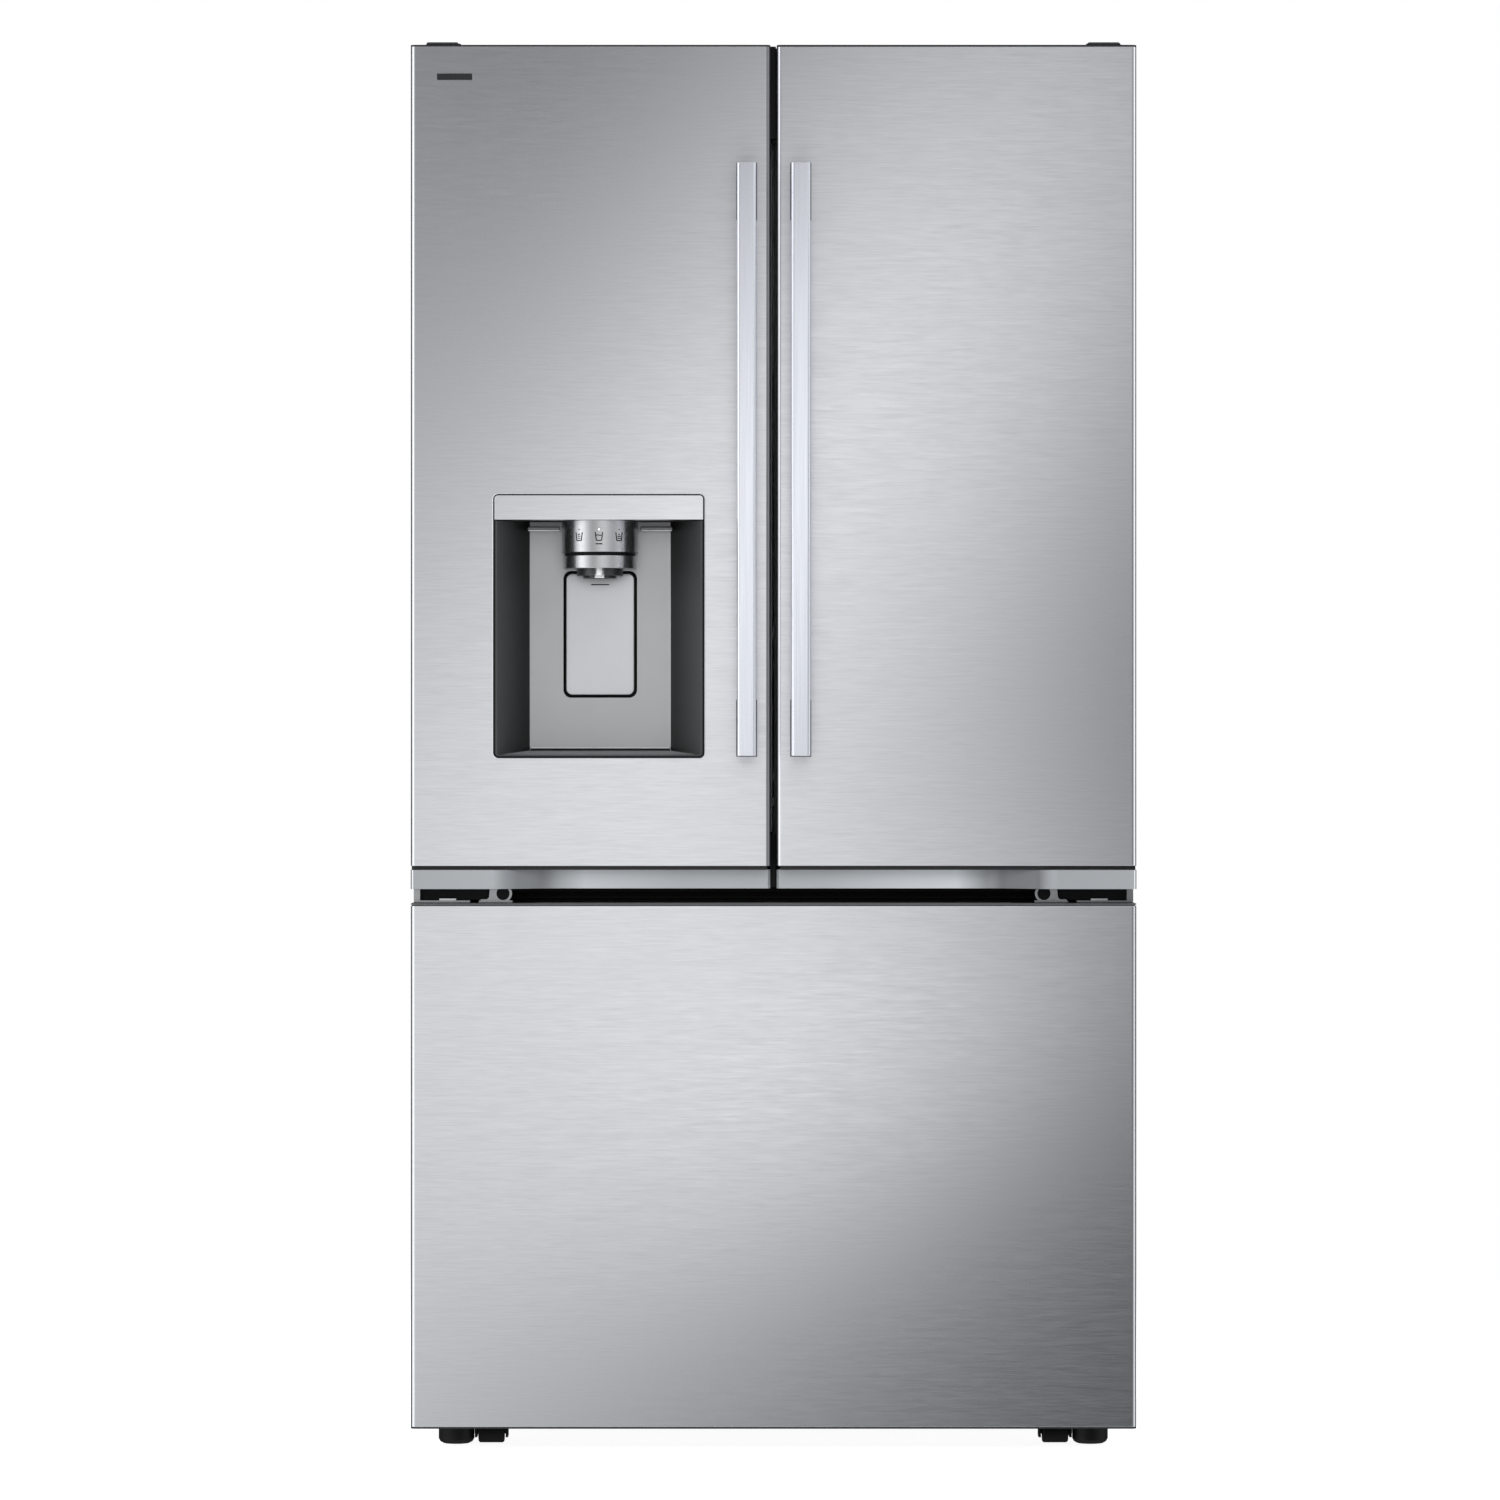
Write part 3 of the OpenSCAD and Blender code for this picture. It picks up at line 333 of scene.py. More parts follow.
# a darker copy of the zinc: painted shade on the middle hinges' fronts
SHADED_ZINC = moulded("zinc_painted_shade", (0.25, 0.253, 0.258), (0.36, 0.364, 0.372), 0.26, metal=1.0)
FOAM = moulded("foam", (0.72, 0.62, 0.38), (0.80, 0.71, 0.48), 0.8, grain=250, bump=0.0004)
LINER = moulded("white_liner", (0.775, 0.785, 0.795), (0.795, 0.805, 0.815), 0.42,
                bump=0.00001, shine=0.35)
BASKET = moulded("basket_white", (0.72, 0.73, 0.74), (0.79, 0.80, 0.81), 0.42)
WHITE = moulded("white_plastic", (0.80, 0.80, 0.80), (0.86, 0.86, 0.86), 0.35)
CLEAR = clear("clear_plastic", (0.80, 0.88, 0.92), 0.10, 0.30)
GLASS = clear("shelf_glass", (0.62, 0.80, 0.76), 0.05, 0.32)
GASKET = moulded("gasket_grey", (0.10, 0.102, 0.105), (0.13, 0.132, 0.136), 0.62)
MULLION = moulded("mullion_grey", (0.012, 0.012, 0.013), (0.020, 0.020, 0.021), 0.5, shine=0.25)
NICHE = moulded("dispenser_grey", (0.305, 0.308, 0.313), (0.337, 0.340, 0.346), 0.36,
                metal=0.35, coat=0.1)
NICHE_SIDE_SHADE = shaded_niche_side_material()
PADDLE = moulded("paddle_grey", (0.43, 0.435, 0.445), (0.475, 0.48, 0.49), 0.33,
                 metal=0.5, coat=0.2)
SPOUT = moulded("spout_dark", (0.018, 0.018, 0.020), (0.028, 0.028, 0.030), 0.35)
INK = moulded("icon_ink", (0.004, 0.004, 0.0045), (0.007, 0.007, 0.0075), 0.6, shine=0.1)
LENS = moulded("lens_grey", (0.13, 0.132, 0.135), (0.16, 0.162, 0.166), 0.25, coat=0.3)
GRILLE = moulded("grille_grey", (0.085, 0.087, 0.09), (0.105, 0.107, 0.11), 0.4)
LIT = glowing("lit_icon", (1.0, 1.0, 1.0), 1.6)
GLOW = glowing("lamp_glow", (1.0, 0.99, 0.96), 1.4)
BLACK = moulded("black_plastic", (0.003, 0.003, 0.0033), (0.006, 0.006, 0.0063), 0.5, shine=0.15)
ROLLER = moulded("roller_black", (0.002, 0.002, 0.002), (0.005, 0.005, 0.005), 0.6,
                 grain=300, bump=0.0001, shine=0.08)
ENAMEL = moulded("dark_steel", (0.016, 0.016, 0.018), (0.028, 0.028, 0.030), 0.33, coat=0.3)
SCREW = brushed("screw_steel", (0.40, 0.40, 0.41), (0.52, 0.52, 0.53), 0.28, aniso=0.0)
BRASS = brushed("brass_fitting", (0.62, 0.44, 0.18), (0.74, 0.55, 0.26), 0.26, aniso=0.0)

SLOT_LOOKS = {                  # the look that each of the record's slots gives its CAD nodes
    "stainless": STAINLESS, "handle_metal": SATIN, "trim_grey": TRIM, "case_grey": CASE,
    "galvanised": ZINC, "foam": FOAM, "white_liner": LINER, "basket_white": BASKET,
    "clear_plastic": CLEAR, "shelf_glass": GLASS, "gasket_grey": GASKET, "mullion_grey": MULLION,
    "dispenser_grey": NICHE, "paddle_grey": PADDLE, "spout_dark": SPOUT, "black_plastic": BLACK,
    "roller_black": ROLLER, "dark_steel": ENAMEL, "screw_steel": SCREW, "brass_fitting": BRASS,
}
EXTRA_LOOKS = {                 # further looks that go with a slot
    "stainless": (HEADER, HEAD, SHADED_STEEL, GAP_SHADE, PAINTED_GLINT),
    "handle_metal": (BAND, SHADED_MOUNT),
    "trim_grey": (TRIM_HIGHLIGHT, LIP, EDGE),
    "galvanised": (SHADED_ZINC,),
    "white_liner": (WHITE, LIT, GLOW),
    "dispenser_grey": (NICHE_SIDE_SHADE, LENS, GRILLE),
    "spout_dark": (INK,),
}
SLOT_OF = {look.name: slot for slot, look in SLOT_LOOKS.items()}
for slot, looks in EXTRA_LOOKS.items():
    SLOT_OF.update({look.name: slot for look in looks})

for node_name, node_object in nodes.items():
    node_object.data.materials.clear()
    node_object.data.materials.append(SLOT_LOOKS[node_slots[node_name]])


# ---------------------------------------------------------------- building pieces

SMOOTH_ANGLE = math.radians(32)     # faces that meet at less look smooth
SHARP_ANGLE = math.radians(30)      # edges that turn by more get rounded
SHARP_OUTER = math.radians(50)      # the same for outer edges, once the inner corners are filled
FLAT_ANGLE = math.radians(0.6)      # faces that meet at less are joined up
WELD = 0.002 * MM


def finish_piece(name, bm, materials, body, replaced=()):
    """Turns a bmesh into a piece that rides on a body."""
    mesh = bpy.data.meshes.new(name)
    bmesh.ops.recalc_face_normals(bm, faces=bm.faces)
    bm.to_mesh(mesh)
    bm.free()
    for material in materials:
        mesh.materials.append(material)
    mesh.shade_smooth()
    mesh.set_sharp_from_angle(angle=SMOOTH_ANGLE)
    piece = bpy.data.objects.new(name, mesh)
    bpy.context.scene.collection.objects.link(piece)
    weighted = piece.modifiers.new("flat_faces", "WEIGHTED_NORMAL")
    weighted.keep_sharp = True
    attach(piece, body)
    if replaced:
        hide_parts(*replaced)
    return piece


def bevel_edges(bm, edges, width, segments):
    """Rounds edges to a radius of about width."""
    bmesh.ops.bevel(bm, geom=edges, offset=width, offset_type="OFFSET", segments=segments,
                    profile=0.5, affect="EDGES", clamp_overlap=True)


def sharp_edges(bm, least=SHARP_ANGLE, concave=None):
    """Edges that turn by more than least; only inner or only outer ones if concave is given."""
    found = []
    for edge in bm.edges:
        if len(edge.link_faces) != 2 or edge.calc_face_angle(0) < least:
            continue
        if concave is None or (edge.calc_face_angle_signed(0) < 0) == concave:
            found.append(edge)
    return found


def node_mesh(node):
    """A copy of a CAD node's mesh, with its flat faces joined up again."""
    bm = bmesh.new()
    bm.from_mesh(nodes[node].data)
    bmesh.ops.remove_doubles(bm, verts=bm.verts, dist=WELD)
    bmesh.ops.dissolve_limit(bm, angle_limit=FLAT_ANGLE, verts=bm.verts, edges=bm.edges,
                             delimit=set())
    return bm


def rounded(node, width, segments=3, inner=0.0, paint=None, materials=None, move=None):
    """Stands for a CAD node with its edges rounded, and its inner corners filled if inner is given.
    paint gives the number of a face's material from its centre and normal, and move gives how far
    a corner is moved."""
    bm = node_mesh(node)
    if move:
        for vert in bm.verts:
            vert.co += Vector(move(vert.co))
    if inner:
        bevel_edges(bm, sharp_edges(bm, concave=True), inner, 5)
        bevel_edges(bm, sharp_edges(bm, SHARP_OUTER, concave=False), width, segments)
    else:
        bevel_edges(bm, sharp_edges(bm), width, segments)
    if paint:
        for face in bm.faces:
            face.material_index = paint(face.calc_center_median(), face.normal)
    looks = materials or [SLOT_LOOKS[node_slots[node]]]
    return finish_piece(node + "_rounded", bm, looks, nodes[node]["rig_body"], (node,))


def slabs(name, boxes, edge, material, body, segments=2):
    """Blocks between low and high corners, with rounded edges, as one piece."""
    bm = bmesh.new()
    for low, high in boxes:
        for vert in bmesh.ops.create_cube(bm, size=1)["verts"]:
            vert.co = Vector((low[i] + (vert.co[i] + 0.5) * (high[i] - low[i]) for i in range(3)))
    bevel_edges(bm, list(bm.edges), edge, segments)
    return finish_piece(name, bm, [material], body)


def slab(name, low, high, edge, material, body, segments=3):
    """One such block."""
    return slabs(name, [(low, high)], edge, material, body, segments)


def span(sign, near, far):
    """The two distances from the middle, on the side that sign gives, lower end first."""
    return sorted((sign * near, sign * far))


def lathes(name, profile, places, axis, material, body, steps):
    """Solids of revolution: profile is (radius, height) from end to end along axis."""
    turn = Vector((0, 0, 1)).rotation_difference(Vector(axis)).to_matrix()
    bm = bmesh.new()
    for place in places:
        loops = []
        for radius, height in profile:
            loop = []
            for i in range(steps):
                a = 2 * math.pi * i / steps
                point = Vector((radius * math.cos(a), radius * math.sin(a), height))
                loop.append(bm.verts.new(turn @ point + Vector(place)))
            loops.append(loop)
        bridge(bm, loops)
        cap_ends(bm, loops)
    return finish_piece(name, bm, [material], body)


def bridge(bm, loops, closed=False):
    """Faces from each loop of points to the next, and from the last to the first if closed."""
    for one, two in zip(loops, loops[1:] + (loops[:1] if closed else [])):
        for i in range(len(one)):
            j = (i + 1) % len(one)
            bm.faces.new((one[i], one[j], two[j], two[i]))


def cap_ends(bm, loops):
    """Faces that close the first and the last loop."""
    bm.faces.new(loops[0][::-1])
    bm.faces.new(loops[-1])


def round_loop(bm, half_w, half_h, corner, centre):
    """An upright loop of points round a rectangle with round corners."""
    loop = []
    for quarter in range(4):
        x = centre[0] + (half_w - corner) * (1 if quarter in (0, 3) else -1)
        z = centre[2] + (half_h - corner) * (1 if quarter in (0, 1) else -1)
        for step in range(7):
            a = math.pi / 2 * (quarter + step / 6)
            point = (x + corner * math.cos(a), centre[1], z + corner * math.sin(a))
            loop.append(bm.verts.new(point))
    return loop


# ---------------------------------------------------------------- light, floor and backdrop

WORLD_FRONT = 0.033             # how bright the surroundings look in the metal, straight in front
WORLD_SIDE = 0.62               # and how bright they light everything
WORLD_SHEEN = (                 # how bright they look in gloss, from the front (-1) to the back (1)
    (-0.92, WORLD_FRONT), (-0.82, 0.33), (-0.64, 0.80), (-0.40, 1.25), (0.08, 1.25), (0.20, 0.16),
    (0.75, 0.16), (0.95, 0.25),
)


def studio_world():
    """Soft grey surroundings, dimmer in front of the doors; the camera itself sees them white."""
    n = Nodes("studio", bpy.data.worlds)
    n.tree.nodes.clear()
    path = n.add("ShaderNodeLightPath")
    toward = n.calc("MULTIPLY_ADD", n.axes("Generated")["Y"], 0.5, 0.5)
    sheen = n.ramp(toward, [((y + 1) / 2, (bright,) * 3) for y, bright in WORLD_SHEEN])
    strength = n.add("ShaderNodeMix", A=WORLD_SIDE)
    n.link(path.outputs["Is Glossy Ray"], strength.inputs["Factor"])
    n.link(sheen, strength.inputs["B"])
    around = n.add("ShaderNodeBackground", Color=(0.96, 0.975, 1.0, 1))
    n.link(strength.outputs["Result"], around.inputs["Strength"])
    seen = n.add("ShaderNodeBackground", Color=(1, 1, 1, 1))
    mix = n.add("ShaderNodeMixShader")
    n.link(path.outputs["Is Camera Ray"], mix.inputs["Fac"])
    n.link(around.outputs[0], mix.inputs[1])
    n.link(seen.outputs[0], mix.inputs[2])
    out = n.add("ShaderNodeOutputWorld")
    n.link(mix.outputs[0], out.inputs["Surface"])
    bpy.context.scene.world = n.owner


def area_light(name, place, target, size, power):
    """A soft light that only shows by what it lights."""
    data = bpy.data.lights.new(name, "AREA")
    data.shape = "RECTANGLE"
    data.size, data.size_y = size
    data.energy = power
    light = bpy.data.objects.new(name, data)
    light.location = place
    toward = Vector(target) - Vector(place)
    light.rotation_euler = toward.to_track_quat("-Z", "Y").to_euler()
    light.visible_camera = False
    light.visible_glossy = False
    bpy.context.scene.collection.objects.link(light)


def flat_stage(name, corners, material):
    """A flat sheet of the surroundings, which isn't part of the object."""
    mesh = bpy.data.meshes.new(name)
    mesh.from_pydata(corners, [], [(0, 1, 2, 3)])
    mesh.materials.append(material)
    obj = bpy.data.objects.new(name, mesh)
    bpy.context.scene.collection.objects.link(obj)
    return obj


CARD_BACK = 1.0                 # distance of the reflected light card from the doors
CARD_HALF = 3.2                 # half the card's width
CARD_BOTTOM, CARD_TOP = -1.6, 3.4
SOFT_LIGHTS = (                 # glow, centre x and z, half width, half height, lean in degrees
    (1.414, -1.600, 1.227, 0.898, 2.600, 16.9),
    (1.267, 0.088, 0.495, 0.425, 0.178, 25.3),
    (1.305, 0.045, 1.223, 0.913, 0.341, 55.6),
)


def card_material():
    """Clear, with soft oval lights that glow toward the doors. The lights are given as they show
    on the doors' faces, and the card is a little larger than its picture there."""
    n = Nodes("card")
    axes = n.axes()
    larger = 1 + CARD_BACK / CAMERA_BACK
    x = n.calc("DIVIDE", n.calc("SUBTRACT", axes["X"], CAMERA_X), larger)
    z = n.calc("DIVIDE", n.calc("SUBTRACT", axes["Z"], CAMERA_Z), larger)
    glow = 0.0
    for bright, cx, cz, wide, tall, lean in SOFT_LIGHTS:
        cos, sin = math.cos(math.radians(lean)), math.sin(math.radians(lean))
        dx = n.calc("SUBTRACT", x, cx - CAMERA_X)
        dz = n.calc("SUBTRACT", z, cz - CAMERA_Z)
        u = n.calc("ADD", n.calc("MULTIPLY", dx, cos / wide), n.calc("MULTIPLY", dz, sin / wide))
        v = n.calc("ADD", n.calc("MULTIPLY", dx, -sin / tall), n.calc("MULTIPLY", dz, cos / tall))
        fall = n.calc("ADD", n.calc("MULTIPLY", u, u), n.calc("MULTIPLY", v, v))
        bell = n.calc("EXPONENT", n.calc("MULTIPLY", fall, -1.0))
        glow = n.calc("ADD", n.calc("MULTIPLY", bell, bright), glow)
    n.tree.nodes.remove(n.shader)
    face = n.add("ShaderNodeNewGeometry")
    front = n.calc("SUBTRACT", 1.0, face.outputs["Backfacing"])
    emission = n.add("ShaderNodeEmission", Color=(0.985, 0.992, 1.0, 1))
    n.link(n.calc("MULTIPLY", glow, front), emission.inputs["Strength"])
    clear_part = n.add("ShaderNodeBsdfTransparent")
    both = n.add("ShaderNodeAddShader")
    n.link(emission.outputs[0], both.inputs[0])
    n.link(clear_part.outputs[0], both.inputs[1])
    n.link(both.outputs[0], n.tree.nodes["Material Output"].inputs["Surface"])
    return n.owner


FLOOR_HALF = 3.0                # half the floor's side
FLOOR_FADE = (0.7, 2.6)         # distances from the middle where it starts to fade, and is gone


def floor_material():
    """Pale, and fading out softly all round, so that it has no edge."""
    n = Nodes("floor_pale")
    n.tint(n.noise((3, 3, 3)), (0.40, 0.403, 0.406), (0.43, 0.433, 0.436))
    n.set(Roughness=0.7, Emission_Color=(1, 1, 1, 1), Emission_Strength=0.93)
    place = n.add("ShaderNodeTexCoord")
    length = n.add("ShaderNodeVectorMath", operation="LENGTH")
    n.link(place.outputs["Object"], length.inputs[0])
    n.link(n.spread(length.outputs["Value"], 1.0, 0.0, *FLOOR_FADE), n.shader.inputs["Alpha"])
    return n.owner


card_y = FACE_Y - CARD_BACK
card = flat_stage("light_card", [
    (CARD_HALF, card_y, CARD_BOTTOM), (-CARD_HALF, card_y, CARD_BOTTOM),
    (-CARD_HALF, card_y, CARD_TOP), (CARD_HALF, card_y, CARD_TOP),
], card_material())
for ray in ("camera", "shadow", "diffuse", "transmission"):
    setattr(card, "visible_" + ray, False)

floor = flat_stage("floor", [
    (-FLOOR_HALF, -FLOOR_HALF, 0), (FLOOR_HALF, -FLOOR_HALF, 0),
    (FLOOR_HALF, FLOOR_HALF, 0), (-FLOOR_HALF, FLOOR_HALF, 0),
], floor_material())
floor.visible_glossy = False

studio_world()
for light in (                  # name, place, target, size, power
    ("top_light", (0, -0.6, 3.8), (0, 0, 1), (3.5, 3.0), 75),
    ("front_light", (0, -5.0, 2.6), (0, 0, 0.9), (4.0, 2.0), 120),
    ("left_light", (-3.6, -1.6, 1.6), (0, 0, 0.9), (1.6, 2.6), 50),
    ("right_light", (3.6, -1.6, 1.6), (0, 0, 0.9), (1.6, 2.6), 30),
    ("back_light", (0, 3.6, 2.4), (0, 0, 0.9), (2.4, 2.0), 50),
):
    area_light(*light)

bpy.context.scene.view_settings.view_transform = "Standard"


# ---------------------------------------------------------------- doors and drawer

NECK = trim_low.z + 24 * MM     # top of the bottom trim, under the groove
CHAMFER_X = DOOR_EDGE - 3.9 * MM    # where the trim's outer chamfer starts


def paint_caps(centre, normal):
    """Grey trim below, with a painted highlight on the chamfer at its outer end; dark on top, and
    painted shade in the groove.
    """
    if centre.z < NECK - 0.2 * MM or (centre.z < NECK + 0.8 * MM and normal.z > 0.7):
        chamfer = abs(normal.x) > 0.3 and normal.y < -0.3 and abs(centre.x) > CHAMFER_X
        return 2 if chamfer else 0
    return 1


# the skin's looks: the steel face; painted shade on sides and rounds; a near-black line of painted
# shade; a painted highlight; painted shade on rounds in the gap
SKIN_LOOKS = [STAINLESS, SHADED_STEEL, EDGE, PAINTED_GLINT, GAP_SHADE]
FRONT, FLANK, DARK_ARC, BRIGHT_ARC, GAP_ARC = range(5)
OUTER_ZONE = DOOR_EDGE - 6.5 * MM   # faces beyond this x belong to a skin's outer edge
GAP_ZONE = 10 * MM                  # faces within this x belong to the gap between the doors
FOLD_ANGLE = math.radians(60)       # edges that turn by more are the skin's folds


def skin_look(right, centre, normal, gap_turn):
    """The number of a skin face's look. The edges' rounds carry painted highlights and painted
    shade copied from the highlights of the photograph, which differ between the left and the right
    door; the skins' top edge is painted dark as shade. In the gap between the doors, faces that
    look sideways by more than gap_turn are given painted shade instead of the front's look."""
    turn = abs(normal.x)
    if normal.z > 0.5 and centre.z > skin_high.z - 1 * MM:
        return DARK_ARC
    if abs(centre.x) > OUTER_ZONE:
        if turn > 0.99 or (right and turn > 0.80):
            return FLANK
        if turn > 0.80:
            return DARK_ARC
        if right and turn > 0.35:
            return BRIGHT_ARC
    elif abs(centre.x) < GAP_ZONE and turn > gap_turn:
        return FLANK if turn < 0.5 else GAP_ARC
    return FRONT


def steel_skin(node):
    """A folded skin with a fine round along the edges that show."""
    bm = node_mesh(node)
    shown = [edge for edge in sharp_edges(bm, FOLD_ANGLE, concave=False)
             if any(face.normal.y < -0.02 for face in edge.link_faces)]
    bevel_edges(bm, shown, 0.9 * MM, 3)
    right = node == "right_door_skin"
    gap_turn = 0.2 if node == "left_door_skin" else 0.6
    for face in bm.faces:
        face.material_index = skin_look(right, face.calc_center_median(), face.normal, gap_turn)
    finish_piece(node + "_rounded", bm, SKIN_LOOKS, nodes[node]["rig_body"], (node,))


for side, _ in SIDES:
    steel_skin(side + "_door_skin")
    rounded(side + "_door_caps", 0.8 * MM, paint=paint_caps, materials=[TRIM, EDGE, TRIM_HIGHLIGHT])
    rounded(side + "_door_gasket", 1.2 * MM, 2)
    rounded(side + "_door_liner", 4 * MM, 4, inner=4 * MM)
    rounded(side + "_handle", 1.0 * MM, 3)
    mounts = rounded(side + "_handle_mounts", 0.25 * MM, 2, materials=[SHADED_MOUNT])
    mounts.visible_glossy = False
    rounded(side + "_door_bins", 1.1 * MM, 2, inner=5 * MM)

LIP_Z = 0.3                     # the drawer's top cap is above this, and its bottom cap below
steel_skin("drawer_skin")
rounded("drawer_caps", 0.6 * MM, 2, materials=[LIP, EDGE],
        paint=lambda centre, normal: 0 if centre.z > LIP_Z else 1)

for side, sign in SIDES:        # dark ends of the groove over the trim, painted shade
    x0, x1 = span(sign, DOOR_EDGE - 10 * MM, DOOR_EDGE - 1.1 * MM)
    slab(side + "_door_groove_shade", (x0, FACE_Y + 5.4 * MM, NECK - 0.1 * MM),
         (x1, skin_high.y, skin_low.z + 0.1 * MM), 0.3 * MM, EDGE, side + "_door", 2)

GAP_FINS = (                    # name, distance behind the doors' faces, lowest and highest point
    ("upper", 18 * MM, 1644 * MM, skin_high.z + 1.8 * MM),
    ("lower", 46 * MM, trim_low.z + 1.5 * MM, 772 * MM),
)
FIN_LEFT, FIN_MEET, FIN_RIGHT = -4.3 * MM, 3.0 * MM, 4.3 * MM
for name, back, bottom, top in GAP_FINS:    # they close the gap above and below the mullion
    fin_y = FACE_Y + back
    stop_y = fin_y + 22 * MM
    slab(name + "_gap_fin", (FIN_LEFT, fin_y, bottom), (FIN_MEET, fin_y + 20 * MM, top),
         0.5 * MM, BLACK, "left_door", 2)
    slab(name + "_gap_stop", (FIN_MEET, stop_y, bottom), (FIN_RIGHT, stop_y + 14 * MM, top),
         0.3 * MM, BLACK, "right_door", 2)

rounded("drawer_gasket", 1.2 * MM, 2)
rounded("drawer_liner", 4 * MM, 4, inner=4 * MM)
rounded("mullion", 1.0 * MM, 2)


# ---------------------------------------------------------------- dispenser

house_low, house_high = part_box("dispenser_housing")
paddle_low, paddle_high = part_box("dispenser_paddle")
spout_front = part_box("dispenser_spout")[0].y
DISP_X = (house_low.x + house_high.x) / 2
NICHE_BACK = paddle_low.y       # the niche's back wall
NICHE_FLOOR = house_low.z + 7.5 * MM        # at the back wall; it slopes to the front
RING_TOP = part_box("dispenser_head")[0].z + 16 * MM
HEAD_BOTTOM = RING_TOP + 4 * MM
HEAD_TOP = HEAD_BOTTOM + 40 * MM


def paint_housing(centre, normal):
    """Light back wall, with the rounds at its sides; all the rest is dark, with painted shade."""
    ahead = NICHE_BACK - centre.y
    back_wall = normal.y < -0.8 and abs(ahead) < 1 * MM
    at_side = abs(centre.x - DISP_X) > 80 * MM and normal.y < -0.75
    return 0 if back_wall or (at_side and -1 * MM < ahead < 3 * MM) else 1


def paint_head(centre, normal):
    """Steel header over the control head; the groove between the head and its lower ring is painted
    black, as shade.
    """
    in_groove = RING_TOP - 0.3 * MM < centre.z < HEAD_BOTTOM + 0.3 * MM
    if in_groove and abs(normal.z) < 0.9:
        return 1
    return 2 if centre.z < HEAD_TOP else 0


def paint_spout(centre, normal):
    """Dark, with a white water nozzle."""
    nozzle = abs(centre.x - DISP_X) < 4.7 * MM and centre.y < spout_front + 9.6 * MM
    return 1 if nozzle else 0


rounded("dispenser_housing", 0.6 * MM, 2, inner=3.5 * MM, paint=paint_housing,
        materials=[NICHE, NICHE_SIDE_SHADE])
rounded("dispenser_head", 0.7 * MM, 3, paint=paint_head, materials=[HEADER, INK, HEAD])
rounded("dispenser_spout", 0.5 * MM, 2, paint=paint_spout, materials=[SPOUT, WHITE])

PADDLE_CROWN = (                # distance in from the paddle's rim and out from the wall, in mm
    (0, -1.0), (0, 0.5), (0.4, 0.9), (1.2, 1.1), (4, 1.35), (10, 1.6), (20, 1.8), (34, 1.9),
)


def paddle_piece():
    """The paddle with its pivot rod and lugs, a slightly crowned face and a short mark."""
    bm = node_mesh("dispenser_paddle")
    bevel_edges(bm, sharp_edges(bm), 1.0 * MM, 3)
    # the paddle's body is black: painted shade in the groove round its face
    finish_piece("dispenser_paddle_rounded", bm, [INK], "dispenser_paddle", ("dispenser_paddle",))
    half_w = 42.6 * MM
    half_h = (paddle_high.z - paddle_low.z) / 2 - 0.9 * MM
    middle = (paddle_low.z + paddle_high.z) / 2
    bm = bmesh.new()
    loops = []
    for inset, out in PADDLE_CROWN:
        corner = max(7.5 - inset * 0.6, 2) * MM
        loops.append(round_loop(bm, half_w - inset * MM, half_h - inset * MM, corner,
                                (DISP_X, NICHE_BACK - out * MM, middle)))
    bridge(bm, loops)
    cap_ends(bm, loops)
    finish_piece("paddle_face", bm, [PADDLE], "dispenser_paddle")
    mark_half, mark_z = 11.5 * MM, middle + 62 * MM
    slab("paddle_mark", (DISP_X - mark_half, NICHE_BACK - 2.3 * MM, mark_z),
         (DISP_X + mark_half, NICHE_BACK - 1.2 * MM, mark_z + 1.3 * MM),
         0.3 * MM, INK, "dispenser_paddle")


def dispenser_ring(name, section, material):
    """A ring round the dispenser; section is (distance out, distance back) points in mm."""
    half_w, half_h = (house_high.x - house_low.x) / 2, (house_high.z - house_low.z) / 2
    middle = (house_low.z + house_high.z) / 2
    bm = bmesh.new()
    loops = [round_loop(bm, half_w + grow * MM, half_h + grow * MM, (5 + grow) * MM,
                        (DISP_X, FACE_Y + back * MM, middle)) for grow, back in section]
    bridge(bm, loops, closed=True)
    finish_piece(name, bm, [material], "left_door")


paddle_piece()
# a black ring in the gap round the niche, painted shade; outside it a bright ring, a painted
# highlight
dispenser_ring("dispenser_shade_ring", (
    (1.9, -0.3), (1.9, 1.5), (-0.9, 1.5), (-0.9, -1.2), (-0.2, -1.4), (1.5, -1.1)), INK)
dispenser_ring("dispenser_glint_ring", (
    (2.9, 0.4), (1.8, 0.4), (1.8, -0.9), (2.1, -1.0), (2.6, -0.5)), PAINTED_GLINT)

LAMP_X = 71 * MM                # from the dispenser's middle to the middle of a lamp
WALL_Y = NICHE_BACK - 0.2 * MM  # just in front of the niche's back wall
for side, sign in SIDES:
    lamp = DISP_X + sign * LAMP_X
    slab("dispenser_lamp_" + side,
         (lamp - 20.5 * MM, NICHE_BACK - 16 * MM, house_high.z - 41.5 * MM),
         (lamp + 20.5 * MM, WALL_Y, house_high.z - 37 * MM), 1.8 * MM, LENS, "left_door", 4)
    # a white strip along the lamp's lower edge: a painted highlight
    slab("dispenser_lamp_glint_" + side,
         (lamp - 19.5 * MM, NICHE_BACK - 16.6 * MM, house_high.z - 42.3 * MM),
         (lamp + 19.5 * MM, WALL_Y, house_high.z - 41.1 * MM), 0.5 * MM, WHITE, "left_door")

DRIP_HALF = 88 * MM             # half the niche floor's width at the back wall
slab("drip_lip", (DISP_X - DRIP_HALF, NICHE_BACK - 2.4 * MM, NICHE_FLOOR + 2.4 * MM),
     (DISP_X + DRIP_HALF, WALL_Y, NICHE_FLOOR + 4.6 * MM), 0.9 * MM, PADDLE, "left_door")
